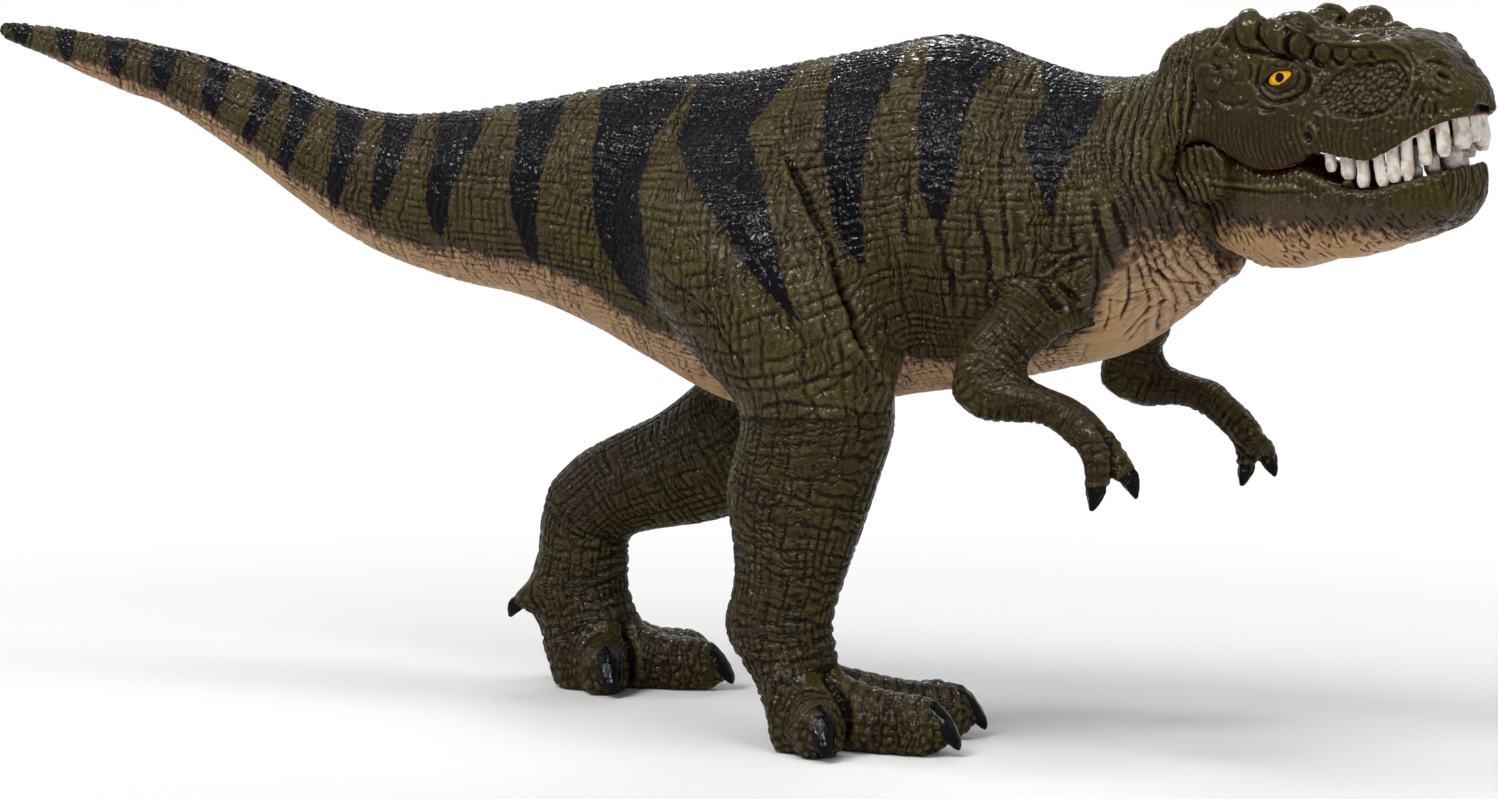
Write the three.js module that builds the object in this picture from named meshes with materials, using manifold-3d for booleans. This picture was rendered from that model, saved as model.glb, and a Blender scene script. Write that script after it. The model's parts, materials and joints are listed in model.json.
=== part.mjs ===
// A toy theropod dinosaur figure with a hinged lower jaw, in millimetres.
// x points the way the figure faces, y to its left and z up, and its soles stand on z = 0.
// Its moulded pieces plug into each other at the tail, neck, shoulders and knees.
import * as THREE from 'three';
import { mergeVertices } from 'three/addons/utils/BufferGeometryUtils.js';
import Module from 'manifold-3d';

const wasm = await Module();
wasm.setup();

// Body
const bodyLength = 290;
const bodyDepth = 62;
const bodyWidth = 44;
const hipHeight = 92;

// Legs and feet
const legSpread = 20;
const legDepth = 28;
const thighWidth = 28;
const toeLength = 24;
const toeWidth = 9;
const toeHeight = 10.2;
const clawLength = 7.6;
const clawWidth = 5.2;
const spurLength = 6;
const spurWidth = 5;
const spurDroop = 28;

// Arms
const armLength = 28;
const armWidth = 13;
const shoulderSpread = 22;
const fingerWidth = 4.2;
const fingerLength = 5;
const fingerClawLength = 4;
const fingerClawWidth = 3;

// Head, in a frame of its own whose origin is on the jaw hinge
const headLength = 52;
const headHeight = 40;
const headWidth = 26;
const headTurn = 20;
const headNod = 4;
const headRoll = 6;
const browSize = 5.4;
const browStretchShare = 1.35;
const browHeightShare = 0.9;
const eyeDiameter = 6;
const nostrilWidth = 2.2;
const toothWidth = 2.1;
const toothPitch = 2.9;
const gumHeight = 1.5;
const tongueWidth = 8.6;
const tongueHeight = 3.2;

// Jaw hinge
const jawOpening = 22;
const hingeDiameter = 10;
const hingeInset = 0.7;
const jawArmWidth = 4.9;
const pinDiameter = 2.4;
const pinCover = 1.4;
const pinPlay = 0.1;
const blockDiameter = 8;

// Plugs and fits
const clearance = 0.3;
const tailPlugDiameter = 8;
const tailPlugLength = 8;
const neckPlugDiameter = 13;
const neckPlugLength = 8;
const kneePlugDiameter = 8;
const kneePlugLength = 6;
const plugTaperShare = 0.85;
const plugSides = 20;
const barSides = 20;
const overrun = 60;

// Moulded colours
const skinFinish = { color: 0x4a4b28, roughness: 0.5, metalness: 0 };
const throatFinish = { color: 0x6f6547, roughness: 0.5, metalness: 0 };
const clawFinish = { color: 0x15171b, roughness: 0.25, metalness: 0 };
const toothFinish = { color: 0xe6dcc8, roughness: 0.4, metalness: 0 };
const mouthFinish = { color: 0x8c2a3c, roughness: 0.4, metalness: 0 };
const eyeFinish = { color: 0xf0a516, roughness: 0.15, metalness: 0 };
const pinFinish = { color: 0x9a9c9f, roughness: 0.3, metalness: 1 };

// Body stations from the tail tip to the nape: forward of the hips over bodyLength, back and belly
// above the hips over bodyDepth, half width and sideways shift over bodyWidth
const bodyShares = [
  [-0.552, 0.561, 0.510, 0.036, 0],
  [-0.524, 0.548, 0.455, 0.054, 0],
  [-0.476, 0.508, 0.358, 0.086, 0],
  [-0.414, 0.461, 0.252, 0.124, 0],
  [-0.345, 0.369, 0.068, 0.173, 0],
  [-0.276, 0.262, -0.140, 0.227, 0],
  [-0.207, 0.244, -0.250, 0.277, 0],
  [-0.138, 0.274, -0.320, 0.336, 0],
  [-0.069, 0.319, -0.460, 0.400, 0],
  [0, 0.342, -0.610, 0.455, 0],
  [0.069, 0.382, -0.590, 0.495, 0],
  [0.131, 0.427, -0.545, 0.505, 0],
  [0.179, 0.350, -0.505, 0.455, 0],
  [0.214, 0.303, -0.471, 0.395, -0.007],
  [0.241, 0.290, -0.435, 0.359, -0.020],
  [0.266, 0.318, -0.345, 0.336, -0.050],
  [0.290, 0.385, -0.250, 0.318, -0.095],
  [0.317, 0.410, -0.205, 0.300, -0.160],
];
const tailSeamShare = -0.138;

// Leg stations from the hip down: forward of the hips and height over hipHeight, outward over
// legSpread, half width over thighWidth, reach in front and behind over legDepth
const rightLegShares = [
  [0.054, 0.45, 1.076, 0.286, 0.536, 0.536],
  [0.049, 0.70, 0.978, 0.429, 0.768, 0.768],
  [0.087, 0.85, 0.870, 0.500, 0.786, 0.786],
  [0.147, 0.92, 0.761, 0.482, 0.714, 0.714],
  [0.194, 0.95, 0.674, 0.429, 0.620, 0.620],
  [0.240, 0.98, 0.598, 0.386, 0.462, 0.480],
  [0.226, 1, 0.533, 0.364, 0.471, 0.471],
  [0.202, 1, 0.457, 0.346, 0.466, 0.466],
  [0.194, 1, 0.370, 0.314, 0.388, 0.388],
  [0.179, 1, 0.283, 0.279, 0.332, 0.332],
  [0.158, 1, 0.217, 0.261, 0.339, 0.339],
  [0.179, 1, 0.152, 0.279, 0.321, 0.321],
  [0.201, 1.02, 0.087, 0.304, 0.304, 0.304],
  [0.217, 1.04, 0.022, 0.304, 0.286, 0.250],
  [0.220, 1.04, -0.040, 0.290, 0.260, 0.190],
];
const leftLegShares = [
  [-0.033, 0.45, 1.087, 0.286, 0.500, 0.430],
  [-0.022, 0.70, 0.957, 0.429, 0.714, 0.680],
  [-0.011, 0.88, 0.804, 0.482, 0.643, 0.714],
  [-0.010, 1, 0.674, 0.446, 0.536, 0.679],
  [-0.040, 1.08, 0.560, 0.411, 0.480, 0.600],
  [-0.141, 1.10, 0.497, 0.386, 0.429, 0.525],
  [-0.272, 1.12, 0.450, 0.339, 0.390, 0.385],
  [-0.395, 1.14, 0.402, 0.286, 0.305, 0.370],
  [-0.475, 1.15, 0.358, 0.261, 0.290, 0.345],
  [-0.487, 1.15, 0.270, 0.254, 0.311, 0.330],
  [-0.498, 1.15, 0.200, 0.262, 0.350, 0.375],
  [-0.490, 1.15, 0.125, 0.286, 0.400, 0.385],
  [-0.470, 1.15, 0.050, 0.304, 0.410, 0.340],
  [-0.462, 1.15, -0.040, 0.290, 0.390, 0.310],
];

// Knee seams: forward and height over hipHeight, and the tilt of the seam in degrees
const rightKneeSeam = { forwardShare: 0.24, heightShare: 0.60, tilt: 0 };
const leftKneeSeam = { forwardShare: -0.04, heightShare: 0.565, tilt: 17 };

// Toes: root forward over hipHeight, outward over legSpread, heading in degrees away from the
// middle of the figure, reach over toeLength
const rightToeShares = {
  outer: [0.240, 1.20, 54, 0.52],
  middle: [0.245, 1.00, -2, 1],
  inner: [0.239, 0.75, -37, 1.12],
};
const leftToeShares = {
  outer: [-0.435, 1.40, 45, 0.82],
  middle: [-0.424, 1.20, 10, 0.96],
  inner: [-0.435, 0.95, -50, 0.52],
};
// A toe's stations: along its reach, height of its middle, half width, reach up and down
const toeStationShares = [
  [-0.20, 0.72, 0.62, 0.62, 0.90],
  [0.20, 0.60, 0.60, 0.58, 0.80],
  [0.55, 0.48, 0.50, 0.50, 0.65],
  [0.78, 0.44, 0.53, 0.52, 0.60],
  [0.95, 0.42, 0.45, 0.42, 0.55],
  [1.03, 0.42, 0.26, 0.26, 0.32],
];
// A claw's stations: beyond the toe's end over clawLength, height over toeHeight, radius over
// clawWidth
const clawStationShares = [
  [-0.75, 0.52, 0.40],
  [-0.25, 0.60, 0.50],
  [0.10, 0.50, 0.44],
  [0.35, 0.32, 0.34],
  [0.50, 0.17, 0.18],
];
// Spurs behind the ankles: forward and height over hipHeight, outward over legSpread, heading
const rightSpurShares = [0.13, 0.70, 0.20, 165];
const leftSpurShares = [-0.57, 0.90, 0.19, 172];

// Arm stations: forward of the shoulder and below it over armLength, outward over armWidth, and
// half width and half depth over armWidth
const armStationShares = [
  [0.10, 0.10, -0.80, 0.46, 0.54],
  [0.00, -0.02, -0.15, 0.48, 0.54],
  [-0.12, -0.22, 0.25, 0.42, 0.46],
  [-0.22, -0.39, 0.40, 0.34, 0.37],
  [-0.08, -0.48, 0.42, 0.30, 0.30],
  [0.16, -0.48, 0.40, 0.27, 0.27],
  [0.35, -0.58, 0.38, 0.24, 0.25],
  [0.49, -0.72, 0.36, 0.28, 0.22],
  [0.55, -0.83, 0.34, 0.22, 0.18],
];
const armPlaces = {
  right: { forwardShare: 0.200, heightShare: -0.325, lean: 0 },
  left: { forwardShare: 0.224, heightShare: -0.325, lean: 0.12 },
};
// Fingers: root forward and below over armLength, outward over armWidth, and heading down
const fingerShares = {
  outer: [0.50, -0.79, 0.46, 88],
  inner: [0.55, -0.76, 0.24, 52],
};

// Skull stations along headLength from the hinge: roof, ridge, side, cheek, lip and palate, each
// as half width over headWidth and height over headHeight
const skullShares = [
  [-0.160, 0.490, 0.30, 0.485, 0.44, 0.340, 0.510, 0.20, 0.515, 0.105, 0.075],
  [-0.040, 0.545, 0.35, 0.545, 0.48, 0.370, 0.540, 0.20, 0.530, 0.115, 0.088],
  [0.100, 0.540, 0.39, 0.560, 0.51, 0.388, 0.540, 0.20, 0.525, 0.066, 0.090],
  [0.195, 0.520, 0.42, 0.530, 0.49, 0.400, 0.520, 0.20, 0.510, -0.010, 0.085],
  [0.290, 0.495, 0.42, 0.520, 0.48, 0.388, 0.505, 0.19, 0.500, -0.014, 0.080],
  [0.360, 0.470, 0.37, 0.455, 0.44, 0.350, 0.480, 0.18, 0.487, 0.025, 0.090],
  [0.425, 0.460, 0.34, 0.430, 0.385, 0.312, 0.440, 0.15, 0.455, 0.022, 0.095],
  [0.540, 0.450, 0.30, 0.405, 0.34, 0.300, 0.395, 0.14, 0.415, -0.025, 0.080],
  [0.655, 0.420, 0.27, 0.375, 0.305, 0.287, 0.340, 0.15, 0.355, 0.035, 0.100],
  [0.730, 0.345, 0.215, 0.305, 0.255, 0.252, 0.280, 0.175, 0.295, 0.075, 0.125],
  [0.785, 0.255, 0.145, 0.235, 0.18, 0.212, 0.200, 0.18, 0.210, 0.095, 0.140],
  [0.815, 0.185, 0.085, 0.180, 0.108, 0.168, 0.125, 0.158, 0.125, 0.105, 0.130],
];
// Jaw stations along headLength: half width over headWidth, lip and chin over headHeight
const jawShares = [
  [-0.050, 0.405, -0.100, -0.320],
  [0.020, 0.412, 0.000, -0.375],
  [0.080, 0.428, 0.045, -0.405],
  [0.135, 0.460, 0.018, -0.415],
  [0.195, 0.473, -0.027, -0.417],
  [0.265, 0.466, -0.027, -0.397],
  [0.310, 0.458, -0.014, -0.392],
  [0.355, 0.446, -0.055, -0.395],
  [0.445, 0.420, -0.112, -0.380],
  [0.520, 0.396, -0.128, -0.335],
  [0.620, 0.345, -0.112, -0.322],
  [0.695, 0.290, -0.097, -0.300],
  [0.740, 0.230, -0.083, -0.255],
  [0.770, 0.140, -0.078, -0.190],
];
// Mouth floor stations along headLength: half width over headWidth and height over headHeight
const floorShares = [
  [-0.250, 0.322, -0.238],
  [0.080, 0.322, -0.238],
  [0.200, 0.300, -0.230],
  [0.450, 0.240, -0.212],
  [0.600, 0.180, -0.200],
  [0.670, 0.110, -0.195],
];
// Tongue stations along headLength, and size over tongueWidth and tongueHeight
const tongueShares = [[0.13, 0.5], [0.2, 0.95], [0.35, 1], [0.48, 0.85], [0.56, 0.6], [0.6, 0.3]];
// Brow bosses: along headLength, across headWidth, up headHeight, size over browSize
const browShares = [
  [0.185, 0.39, 0.520, 1.10],
  [0.345, 0.40, 0.500, 1.15],
  [0.440, 0.34, 0.435, 0.95],
  [0.540, 0.29, 0.400, 0.85],
  [0.630, 0.25, 0.375, 0.75],
];
const eyeShares = [0.338, 0.385, 0.325];
const nostrilShares = [0.745, 0.275, 0.272];
const hingeAtShares = [0.307, -0.075, 0.048];
const neckSeamShare = -0.25;
const firstToothShare = 0.37;
const lastToothShare = 0.765;

const radians = THREE.MathUtils.degToRad;
const vector = (x, y, z) => new THREE.Vector3(x, y, z);
const left = vector(0, 1, 0);
const sky = vector(0, 0, 1);

// A closed skin through rings of points, with a fan over each end
function skin(rings) {
  const sides = rings[0].length;
  const points = rings.flat();
  const faces = [];
  for (let ring = 0; ring < rings.length - 1; ring++) {
    for (let side = 0; side < sides; side++) {
      const a = ring * sides + side;
      const b = ring * sides + (side + 1) % sides;
      faces.push(a, b, b + sides, a, b + sides, a + sides);
    }
  }
  const ends = [[0, 1], [rings.length - 1, -1]];
  for (const [ring, turn] of ends) {
    const middle = points.length;
    points.push(rings[ring].reduce((sum, point) => sum.add(point), vector(0, 0, 0)).divideScalar(sides));
    for (let side = 0; side < sides; side++) {
      const a = ring * sides + side;
      const b = ring * sides + (side + 1) % sides;
      faces.push(...(turn > 0 ? [middle, b, a] : [middle, a, b]));
    }
  }
  const geometry = new THREE.BufferGeometry().setFromPoints(points);
  geometry.setIndex(faces);
  return solid(geometry);
}

// A three.js geometry as a solid, turned right side out
function solid(geometry) {
  const bare = geometry.clone();
  bare.deleteAttribute('normal');
  bare.deleteAttribute('uv');
  const merged = mergeVertices(bare);
  const build = (triVerts) => new wasm.Manifold(new wasm.Mesh({
    numProp: 3,
    vertProperties: new Float32Array(merged.attributes.position.array),
    triVerts: new Uint32Array(triVerts),
  }));
  const indices = Array.from(merged.index.array);
  const shape = build(indices);
  return shape.volume() > 0 ? shape : build(indices.reverse());
}

function geometryOf(shape) {
  const mesh = shape.getMesh();
  const geometry = new THREE.BufferGeometry();
  geometry.setAttribute('position', new THREE.BufferAttribute(new Float32Array(mesh.vertProperties), 3));
  geometry.setIndex(new THREE.BufferAttribute(new Uint32Array(mesh.triVerts), 1));
  geometry.computeVertexNormals();
  return geometry;
}

const moved = (shape, matrix) => shape.transform(matrix.elements);
const joined = (shapes) => shapes.reduce((sum, shape) => sum.add(shape));

// The largest of the bodies that a cut leaves
function largest(shape) {
  const bodies = shape.decompose();
  bodies.sort((a, b) => b.volume() - a.volume());
  return bodies[0];
}

// Smooth values between the rows of a table
function smoothRows(rows, count) {
  const columns = rows[0].length;
  const curves = [];
  for (let first = 0; first < columns; first += 3) {
    const points = rows.map((row) => vector(row[first], row[first + 1] ?? 0, row[first + 2] ?? 0));
    curves.push(new THREE.CatmullRomCurve3(points));
  }
  const smooth = [];
  for (let step = 0; step <= count; step++) {
    const values = curves.flatMap((curve) => curve.getPoint(step / count).toArray());
    smooth.push(values.slice(0, columns));
  }
  return smooth;
}

// The value of one column of a table where its first column has the value x
function valueAt(rows, x, column) {
  const beyond = rows.findIndex((row) => row[0] >= x);
  const next = beyond < 0 ? rows.length - 1 : Math.max(1, beyond);
  const [before, after] = [rows[next - 1], rows[next]];
  const t = THREE.MathUtils.clamp((x - before[0]) / (after[0] - before[0]), 0, 1);
  return THREE.MathUtils.lerp(before[column], after[column], t);
}

// A limb of oval sections. Each row is a centre, a half width and the reach on the rising and the
// falling side; the rising side is a fixed way, or else square to the limb's run and to across.
function limb(rows, { across = left, rising = null, sides = 16, steps = 20, grow = 0 }) {
  const stations = smoothRows(rows, steps);
  const centres = stations.map(([x, y, z]) => vector(x, y, z));
  const rings = centres.map((centre, index) => {
    const before = centres[Math.max(0, index - 1)];
    const after = centres[Math.min(steps, index + 1)];
    const run = after.clone().sub(before).normalize();
    const side = rising ? rising.clone().cross(run).normalize() : across;
    const rise = rising ?? run.clone().cross(side).normalize();
    const end = run.clone().multiplyScalar(index === 0 ? -grow : index === steps ? grow : 0);
    const [, , , half, fore, aft] = stations[index];
    return Array.from({ length: sides }, (_, n) => {
      const angle = 2 * Math.PI * n / sides;
      const reach = Math.cos(angle) > 0 ? fore + grow : aft + grow;
      return centre.clone().add(end)
        .addScaledVector(rise, reach * Math.cos(angle))
        .addScaledVector(side, (half + grow) * Math.sin(angle));
    });
  });
  return skin(rings);
}

// A limb of upright square sections through every row
function squareLimb(rows) {
  const rings = rows.map(([x, y, z, half, above, below], index) => {
    const before = rows[Math.max(0, index - 1)];
    const after = rows[Math.min(rows.length - 1, index + 1)];
    const side = vector(before[1] - after[1], after[0] - before[0], 0).setLength(half);
    const corners = [[1, -below], [1, above], [-1, above], [-1, -below]];
    return corners.map(([way, rise]) => vector(x + side.x * way, y + side.y * way, z + rise));
  });
  return skin(rings);
}

// A plug along z, a little thinner at its far end, which starts inside the piece that carries it
function peg(diameter, length, grow = 0) {
  const root = 2 * clearance;
  const height = root + length + grow;
  const shape = new THREE.CylinderGeometry(
    diameter / 2 * plugTaperShare + grow, diameter / 2 + grow, height, plugSides);
  shape.rotateX(Math.PI / 2);
  shape.translate(0, 0, height / 2 - root);
  return solid(shape);
}

// The body, nose end to the right
function body() {
  const rows = bodyShares.map(([forward, back, belly, half, shift]) => [
    forward * bodyLength,
    shift * bodyWidth,
    hipHeight + (back + belly) / 2 * bodyDepth,
    half * bodyWidth,
    (back - belly) / 2 * bodyDepth,
    (back - belly) / 2 * bodyDepth,
  ]);
  return limb(rows, { rising: sky, sides: 20, steps: 46 });
}

function legRows(shares, side) {
  return shares.map(([forward, out, height, half, fore, aft]) => [
    forward * hipHeight,
    out * legSpread * side,
    height * hipHeight,
    half * thighWidth,
    fore * legDepth,
    aft * legDepth,
  ]);
}

// A toe and its claw share this frame: x along the toe, on the ground below its root
function toeFrame([forward, out, heading, reach], side) {
  const frame = new THREE.Matrix4().makeRotationZ(radians(heading * side));
  frame.setPosition(forward * hipHeight, out * legSpread * side, 0);
  return { frame, reach: reach * toeLength - clawLength / 2 };
}

function toe(shares, side) {
  const { frame, reach } = toeFrame(shares, side);
  const rows = toeStationShares.map(([along, height, half, up, down]) => [
    along * reach, 0, height * toeHeight, half * toeWidth, up * toeHeight, down * toeHeight,
  ]);
  return moved(limb(rows, { rising: sky, sides: 10, steps: 8 }), frame);
}

function claw(shares, side, grow = 0) {
  const { frame, reach } = toeFrame(shares, side);
  const rows = clawStationShares.map(([along, height, radius]) => [
    reach + along * clawLength, 0, height * toeHeight,
    radius * clawWidth, radius * clawWidth * 1.2, radius * clawWidth,
  ]);
  return moved(limb(rows, { rising: sky, sides: 7, steps: 5, grow }), frame);
}

// The small toe behind each ankle, and its claw
function spurFrame([forward, out, height, heading], side) {
  const frame = new THREE.Matrix4().makeRotationZ(radians(heading * side));
  frame.multiply(new THREE.Matrix4().makeRotationY(radians(spurDroop)));
  frame.setPosition(forward * hipHeight, out * legSpread * side, height * hipHeight);
  return frame;
}

function spur(shares, side) {
  const half = spurWidth / 2;
  const rows = [
    [-spurLength / 2, 0, 0, half, half, half],
    [spurLength / 2, 0, 0, half, half, half],
    [spurLength * 0.9, 0, 0, half * 0.7, half * 0.7, half * 0.7],
  ];
  return moved(limb(rows, { rising: sky, sides: 8, steps: 4 }), spurFrame(shares, side));
}

function spurClaw(shares, side, grow = 0) {
  const radius = fingerClawWidth / 2;
  const rows = [
    [spurLength * 0.6, 0, 0, radius * 0.8, radius * 0.8, radius * 0.8],
    [spurLength, 0, 0, radius, radius, radius],
    [spurLength + fingerClawLength / 2, 0, -radius * 0.8, radius * 0.3, radius * 0.3, radius * 0.3],
  ];
  return moved(limb(rows, { rising: sky, sides: 6, steps: 4, grow }), spurFrame(shares, side));
}

// A whole leg from hip to sole, cut level at the ground
function leg(shares, toes, spurShares, side) {
  const fixed = side < 0 ? { rising: vector(1, 0, 0) } : {};
  const shaft = limb(legRows(shares, side), { sides: 14, steps: 26, ...fixed });
  const feet = Object.values(toes).map((each) => toe(each, side));
  return joined([shaft, ...feet, spur(spurShares, side)]).trimByPlane([0, 0, 1], 0);
}

// The seam plane of a knee: its normal points up the thigh
function kneeSeam({ forwardShare, heightShare, tilt }, shares, side) {
  const point = vector(forwardShare * hipHeight, 0, heightShare * hipHeight);
  point.y = valueAt([...shares].reverse().map((row) => [row[2], row[1]]), heightShare, 1) * legSpread * side;
  const normal = vector(Math.sin(radians(tilt)), 0, Math.cos(radians(tilt)));
  const plug = new THREE.Matrix4().makeRotationY(radians(tilt)).setPosition(point);
  return { normal, offset: normal.dot(point), plug };
}

// The room round an arm's root, wider than a fit because both curve
const socketGap = clearance * 1.5;

// Arm frame: x forward, y outward, z up, with its origin at the shoulder
function armFrame({ forwardShare, heightShare }, side) {
  return vector(forwardShare * bodyLength, shoulderSpread * side, hipHeight + heightShare * bodyDepth);
}

function armRows(place, side) {
  const shoulder = armFrame(place, side);
  return armStationShares.map(([forward, height, out, half, depth]) => [
    shoulder.x + (forward + place.lean * Math.max(0, forward)) * armLength,
    shoulder.y + out * armWidth * side,
    shoulder.z + height * armLength,
    half * armWidth,
    depth * armWidth,
    depth * armWidth,
  ]);
}

const arm = (place, side, grow = 0) => limb(armRows(place, side), { sides: 10, steps: 18, grow });

function fingerFrame([forward, height, out, heading], place, side) {
  const shoulder = armFrame(place, side);
  const frame = new THREE.Matrix4().makeRotationY(radians(heading));
  return frame.setPosition(
    shoulder.x + (forward + place.lean * forward) * armLength,
    shoulder.y + out * armWidth * side,
    shoulder.z + height * armLength);
}

function finger(shares, place, side) {
  const half = fingerWidth / 2;
  const rows = [
    [-fingerLength * 0.4, 0, 0, half, half, half],
    [fingerLength * 0.5, 0, 0, half, half, half],
    [fingerLength, 0, 0, half * 0.75, half * 0.75, half * 0.75],
  ];
  return moved(limb(rows, { rising: sky, sides: 8, steps: 4 }), fingerFrame(shares, place, side));
}

function fingerClaw(shares, place, side, grow = 0) {
  const radius = fingerClawWidth / 2;
  const rows = [
    [fingerLength * 0.6, 0, 0, radius * 0.8, radius * 0.8, radius * 0.8],
    [fingerLength, 0, 0, radius, radius, radius],
    [fingerLength + fingerClawLength * 0.4, 0, -radius * 0.2, radius * 0.75, radius * 0.75, radius * 0.75],
    [fingerLength + fingerClawLength * 0.8, 0, -radius * 0.6, radius * 0.2, radius * 0.2, radius * 0.2],
  ];
  return moved(limb(rows, { rising: sky, sides: 6, steps: 5, grow }), fingerFrame(shares, place, side));
}

// The head's frame: its origin is on the hinge, x runs to the snout and y to the head's left
const hinge = vector(
  hingeAtShares[0] * bodyLength,
  hingeAtShares[1] * bodyWidth,
  hipHeight + hingeAtShares[2] * bodyDepth);
const headFrame = new THREE.Matrix4().makeRotationZ(radians(-headTurn))
  .multiply(new THREE.Matrix4().makeRotationY(radians(-headNod)))
  .multiply(new THREE.Matrix4().makeRotationX(radians(headRoll)))
  .setPosition(hinge);
const headForward = vector(1, 0, 0).transformDirection(headFrame);
const headLeft = vector(0, 1, 0).transformDirection(headFrame);

// A half outline mirrored into a ring at x
function mirrored(x, half) {
  const right = half.slice(1, -1).reverse().map(([y, z]) => [-y, z]);
  return [...half, ...right].map(([y, z]) => vector(x, y, z));
}

function skull() {
  const rings = smoothRows(skullShares, 22).map((row) => {
    const [x, roof, ridgeY, ridgeZ, sideY, sideZ, cheekY, cheekZ, lipY, lipZ, palate] = row;
    const half = [
      [0, palate],
      [lipY * 0.66, palate],
      [lipY * 0.74, lipZ],
      [lipY * 0.97, lipZ],
      [lipY, lipZ + (cheekZ - lipZ) * 0.3],
      [cheekY, cheekZ],
      [sideY, sideZ],
      [(sideY + ridgeY) / 2, sideZ * 0.3 + ridgeZ * 0.7],
      [ridgeY, ridgeZ],
      [ridgeY * 0.55, roof],
      [0, roof],
    ];
    return mirrored(x * headLength, half.map(([y, z]) => [y * headWidth, z * headHeight]));
  });
  return skin(rings);
}

function jawShell(steps, grow = 0) {
  const rows = smoothRows(jawShares, steps);
  const rings = rows.map(([x, half, lip, chin], index) => {
    const end = index === 0 ? -grow : index === steps ? grow : 0;
    const depth = lip - chin;
    const outline = [
      [0, chin],
      [half * 0.55, chin + depth * 0.03],
      [half * 0.86, chin + depth * 0.20],
      [half, chin + depth * 0.55],
      [half * 0.98, lip - depth * 0.10],
      [half * 0.92, lip],
      [0, lip],
    ];
    const middle = (lip + chin) / 2 * headHeight;
    return mirrored(x * headLength + end, outline.map(([y, z]) => [
      y * headWidth + Math.sign(y) * grow,
      z * headHeight + Math.sign(z * headHeight - middle) * grow,
    ]));
  });
  return skin(rings);
}

function mouthFloor() {
  const rings = floorShares.map(([x, half, floor]) => {
    const outline = [[0, floor], [half, floor], [half * 1.05, floor + 1], [0, floor + 1]];
    return mirrored(x * headLength, outline.map(([y, z]) => [y * headWidth, z * headHeight]));
  });
  return skin(rings);
}

// A cylinder along the head's y axis between two distances from the middle of the head
function crossBar(diameter, from, to) {
  const shape = new THREE.CylinderGeometry(diameter / 2, diameter / 2, to - from, barSides);
  shape.translate(0, (from + to) / 2, 0);
  return solid(shape);
}

const hingeHalf = headWidth / 2 + hingeInset;
const boreDiameter = pinDiameter + 2 * pinPlay;
const armInner = hingeHalf - jawArmWidth;

function hingeDiscs(grow = 0, reach = 0) {
  const outer = hingeHalf + grow + reach;
  return joined([
    crossBar(hingeDiameter + 2 * grow, armInner - grow, outer),
    crossBar(hingeDiameter + 2 * grow, -outer, -armInner + grow),
  ]);
}

// The space that the jaw sweeps as it opens
const sweepGap = clearance * 1.5;
function jawSweep() {
  const shell = jawShell(12, sweepGap);
  const stops = 4;
  const turns = Array.from({ length: stops + 1 }, (_, step) => {
    const turn = new THREE.Matrix4().makeRotationY(radians(jawOpening * step / stops));
    return moved(shell, turn);
  });
  return joined([...turns, hingeDiscs(clearance, overrun)]);
}

// The skull's bearing block between the jaw's two arms
function bearingBlock() {
  const half = armInner - clearance;
  const rest = new THREE.BoxGeometry(blockDiameter, 2 * half, headHeight * 0.2);
  rest.translate(0, 0, headHeight * 0.1);
  return joined([crossBar(blockDiameter, -half, half), solid(rest)]);
}

// Teeth stand along a curve inside the lips, from one corner of the mouth round to the other
function toothLine(table, widthColumn, heightColumn, inset, last) {
  const places = [];
  for (let step = 0; step <= 8; step++) {
    const x = THREE.MathUtils.lerp(firstToothShare, last, Math.sin(step / 8 * Math.PI / 2));
    const y = valueAt(table, x, widthColumn) * headWidth - inset;
    const z = valueAt(table, x, heightColumn) * headHeight;
    places.push(vector(x * headLength, Math.max(y, toothWidth * 0.8), z));
  }
  const mirror = places.map((place) => place.clone().multiply(vector(1, -1, 1)));
  const front = places[places.length - 1].clone();
  front.x += toothWidth / 4;
  front.y = 0;
  return new THREE.CatmullRomCurve3([...places, front, ...mirror.reverse()]);
}

function teeth(line, gumOffset, tipOf) {
  const count = Math.floor(line.getLength() / toothPitch);
  const gum = Array.from({ length: count + 1 }, (_, n) => {
    const { x, y, z } = line.getPointAt(n / count);
    return [x, y, z + gumOffset, gumHeight / 2, gumHeight / 2, gumHeight / 2];
  });
  const parts = [limb(gum, { rising: sky, sides: 4, steps: count })];
  for (let n = 0; n < count; n++) {
    const root = line.getPointAt((n + 0.5) / count);
    root.z += gumOffset;
    const tip = tipOf(root);
    const tooth = new THREE.CylinderGeometry(
      toothWidth * 0.46, toothWidth * 0.2, Math.abs(tip - root.z), 5);
    tooth.rotateX(tip < root.z ? Math.PI / 2 : -Math.PI / 2);
    tooth.translate(root.x, root.y, (root.z + tip) / 2);
    parts.push(solid(tooth));
  }
  return joined(parts);
}

const upperInset = toothWidth * 0.95;
const lowerInset = toothWidth * 1.35;
const skullLip = (x) => valueAt(skullShares, x / headLength, 9) * headHeight;
const jawLip = (x) => valueAt(jawShares, x / headLength, 2) * headHeight;
const upperTip = (root) => jawLip(Math.min(root.x, lastToothShare * headLength)) + clearance * 1.6;
const lowerTip = (root) => THREE.MathUtils.lerp(jawLip(root.x), skullLip(root.x), 0.55);

const upperLine = toothLine(skullShares, 8, 9, upperInset, lastToothShare);
const lowerLine = toothLine(jawShares, 1, 2, lowerInset, lastToothShare * 0.93);
const upperGum = gumHeight * 0.6;
const lowerGum = -gumHeight * 0.6;
const upperTeeth = () => teeth(upperLine, upperGum, upperTip);
const lowerTeeth = () => teeth(lowerLine, lowerGum, lowerTip);

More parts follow.
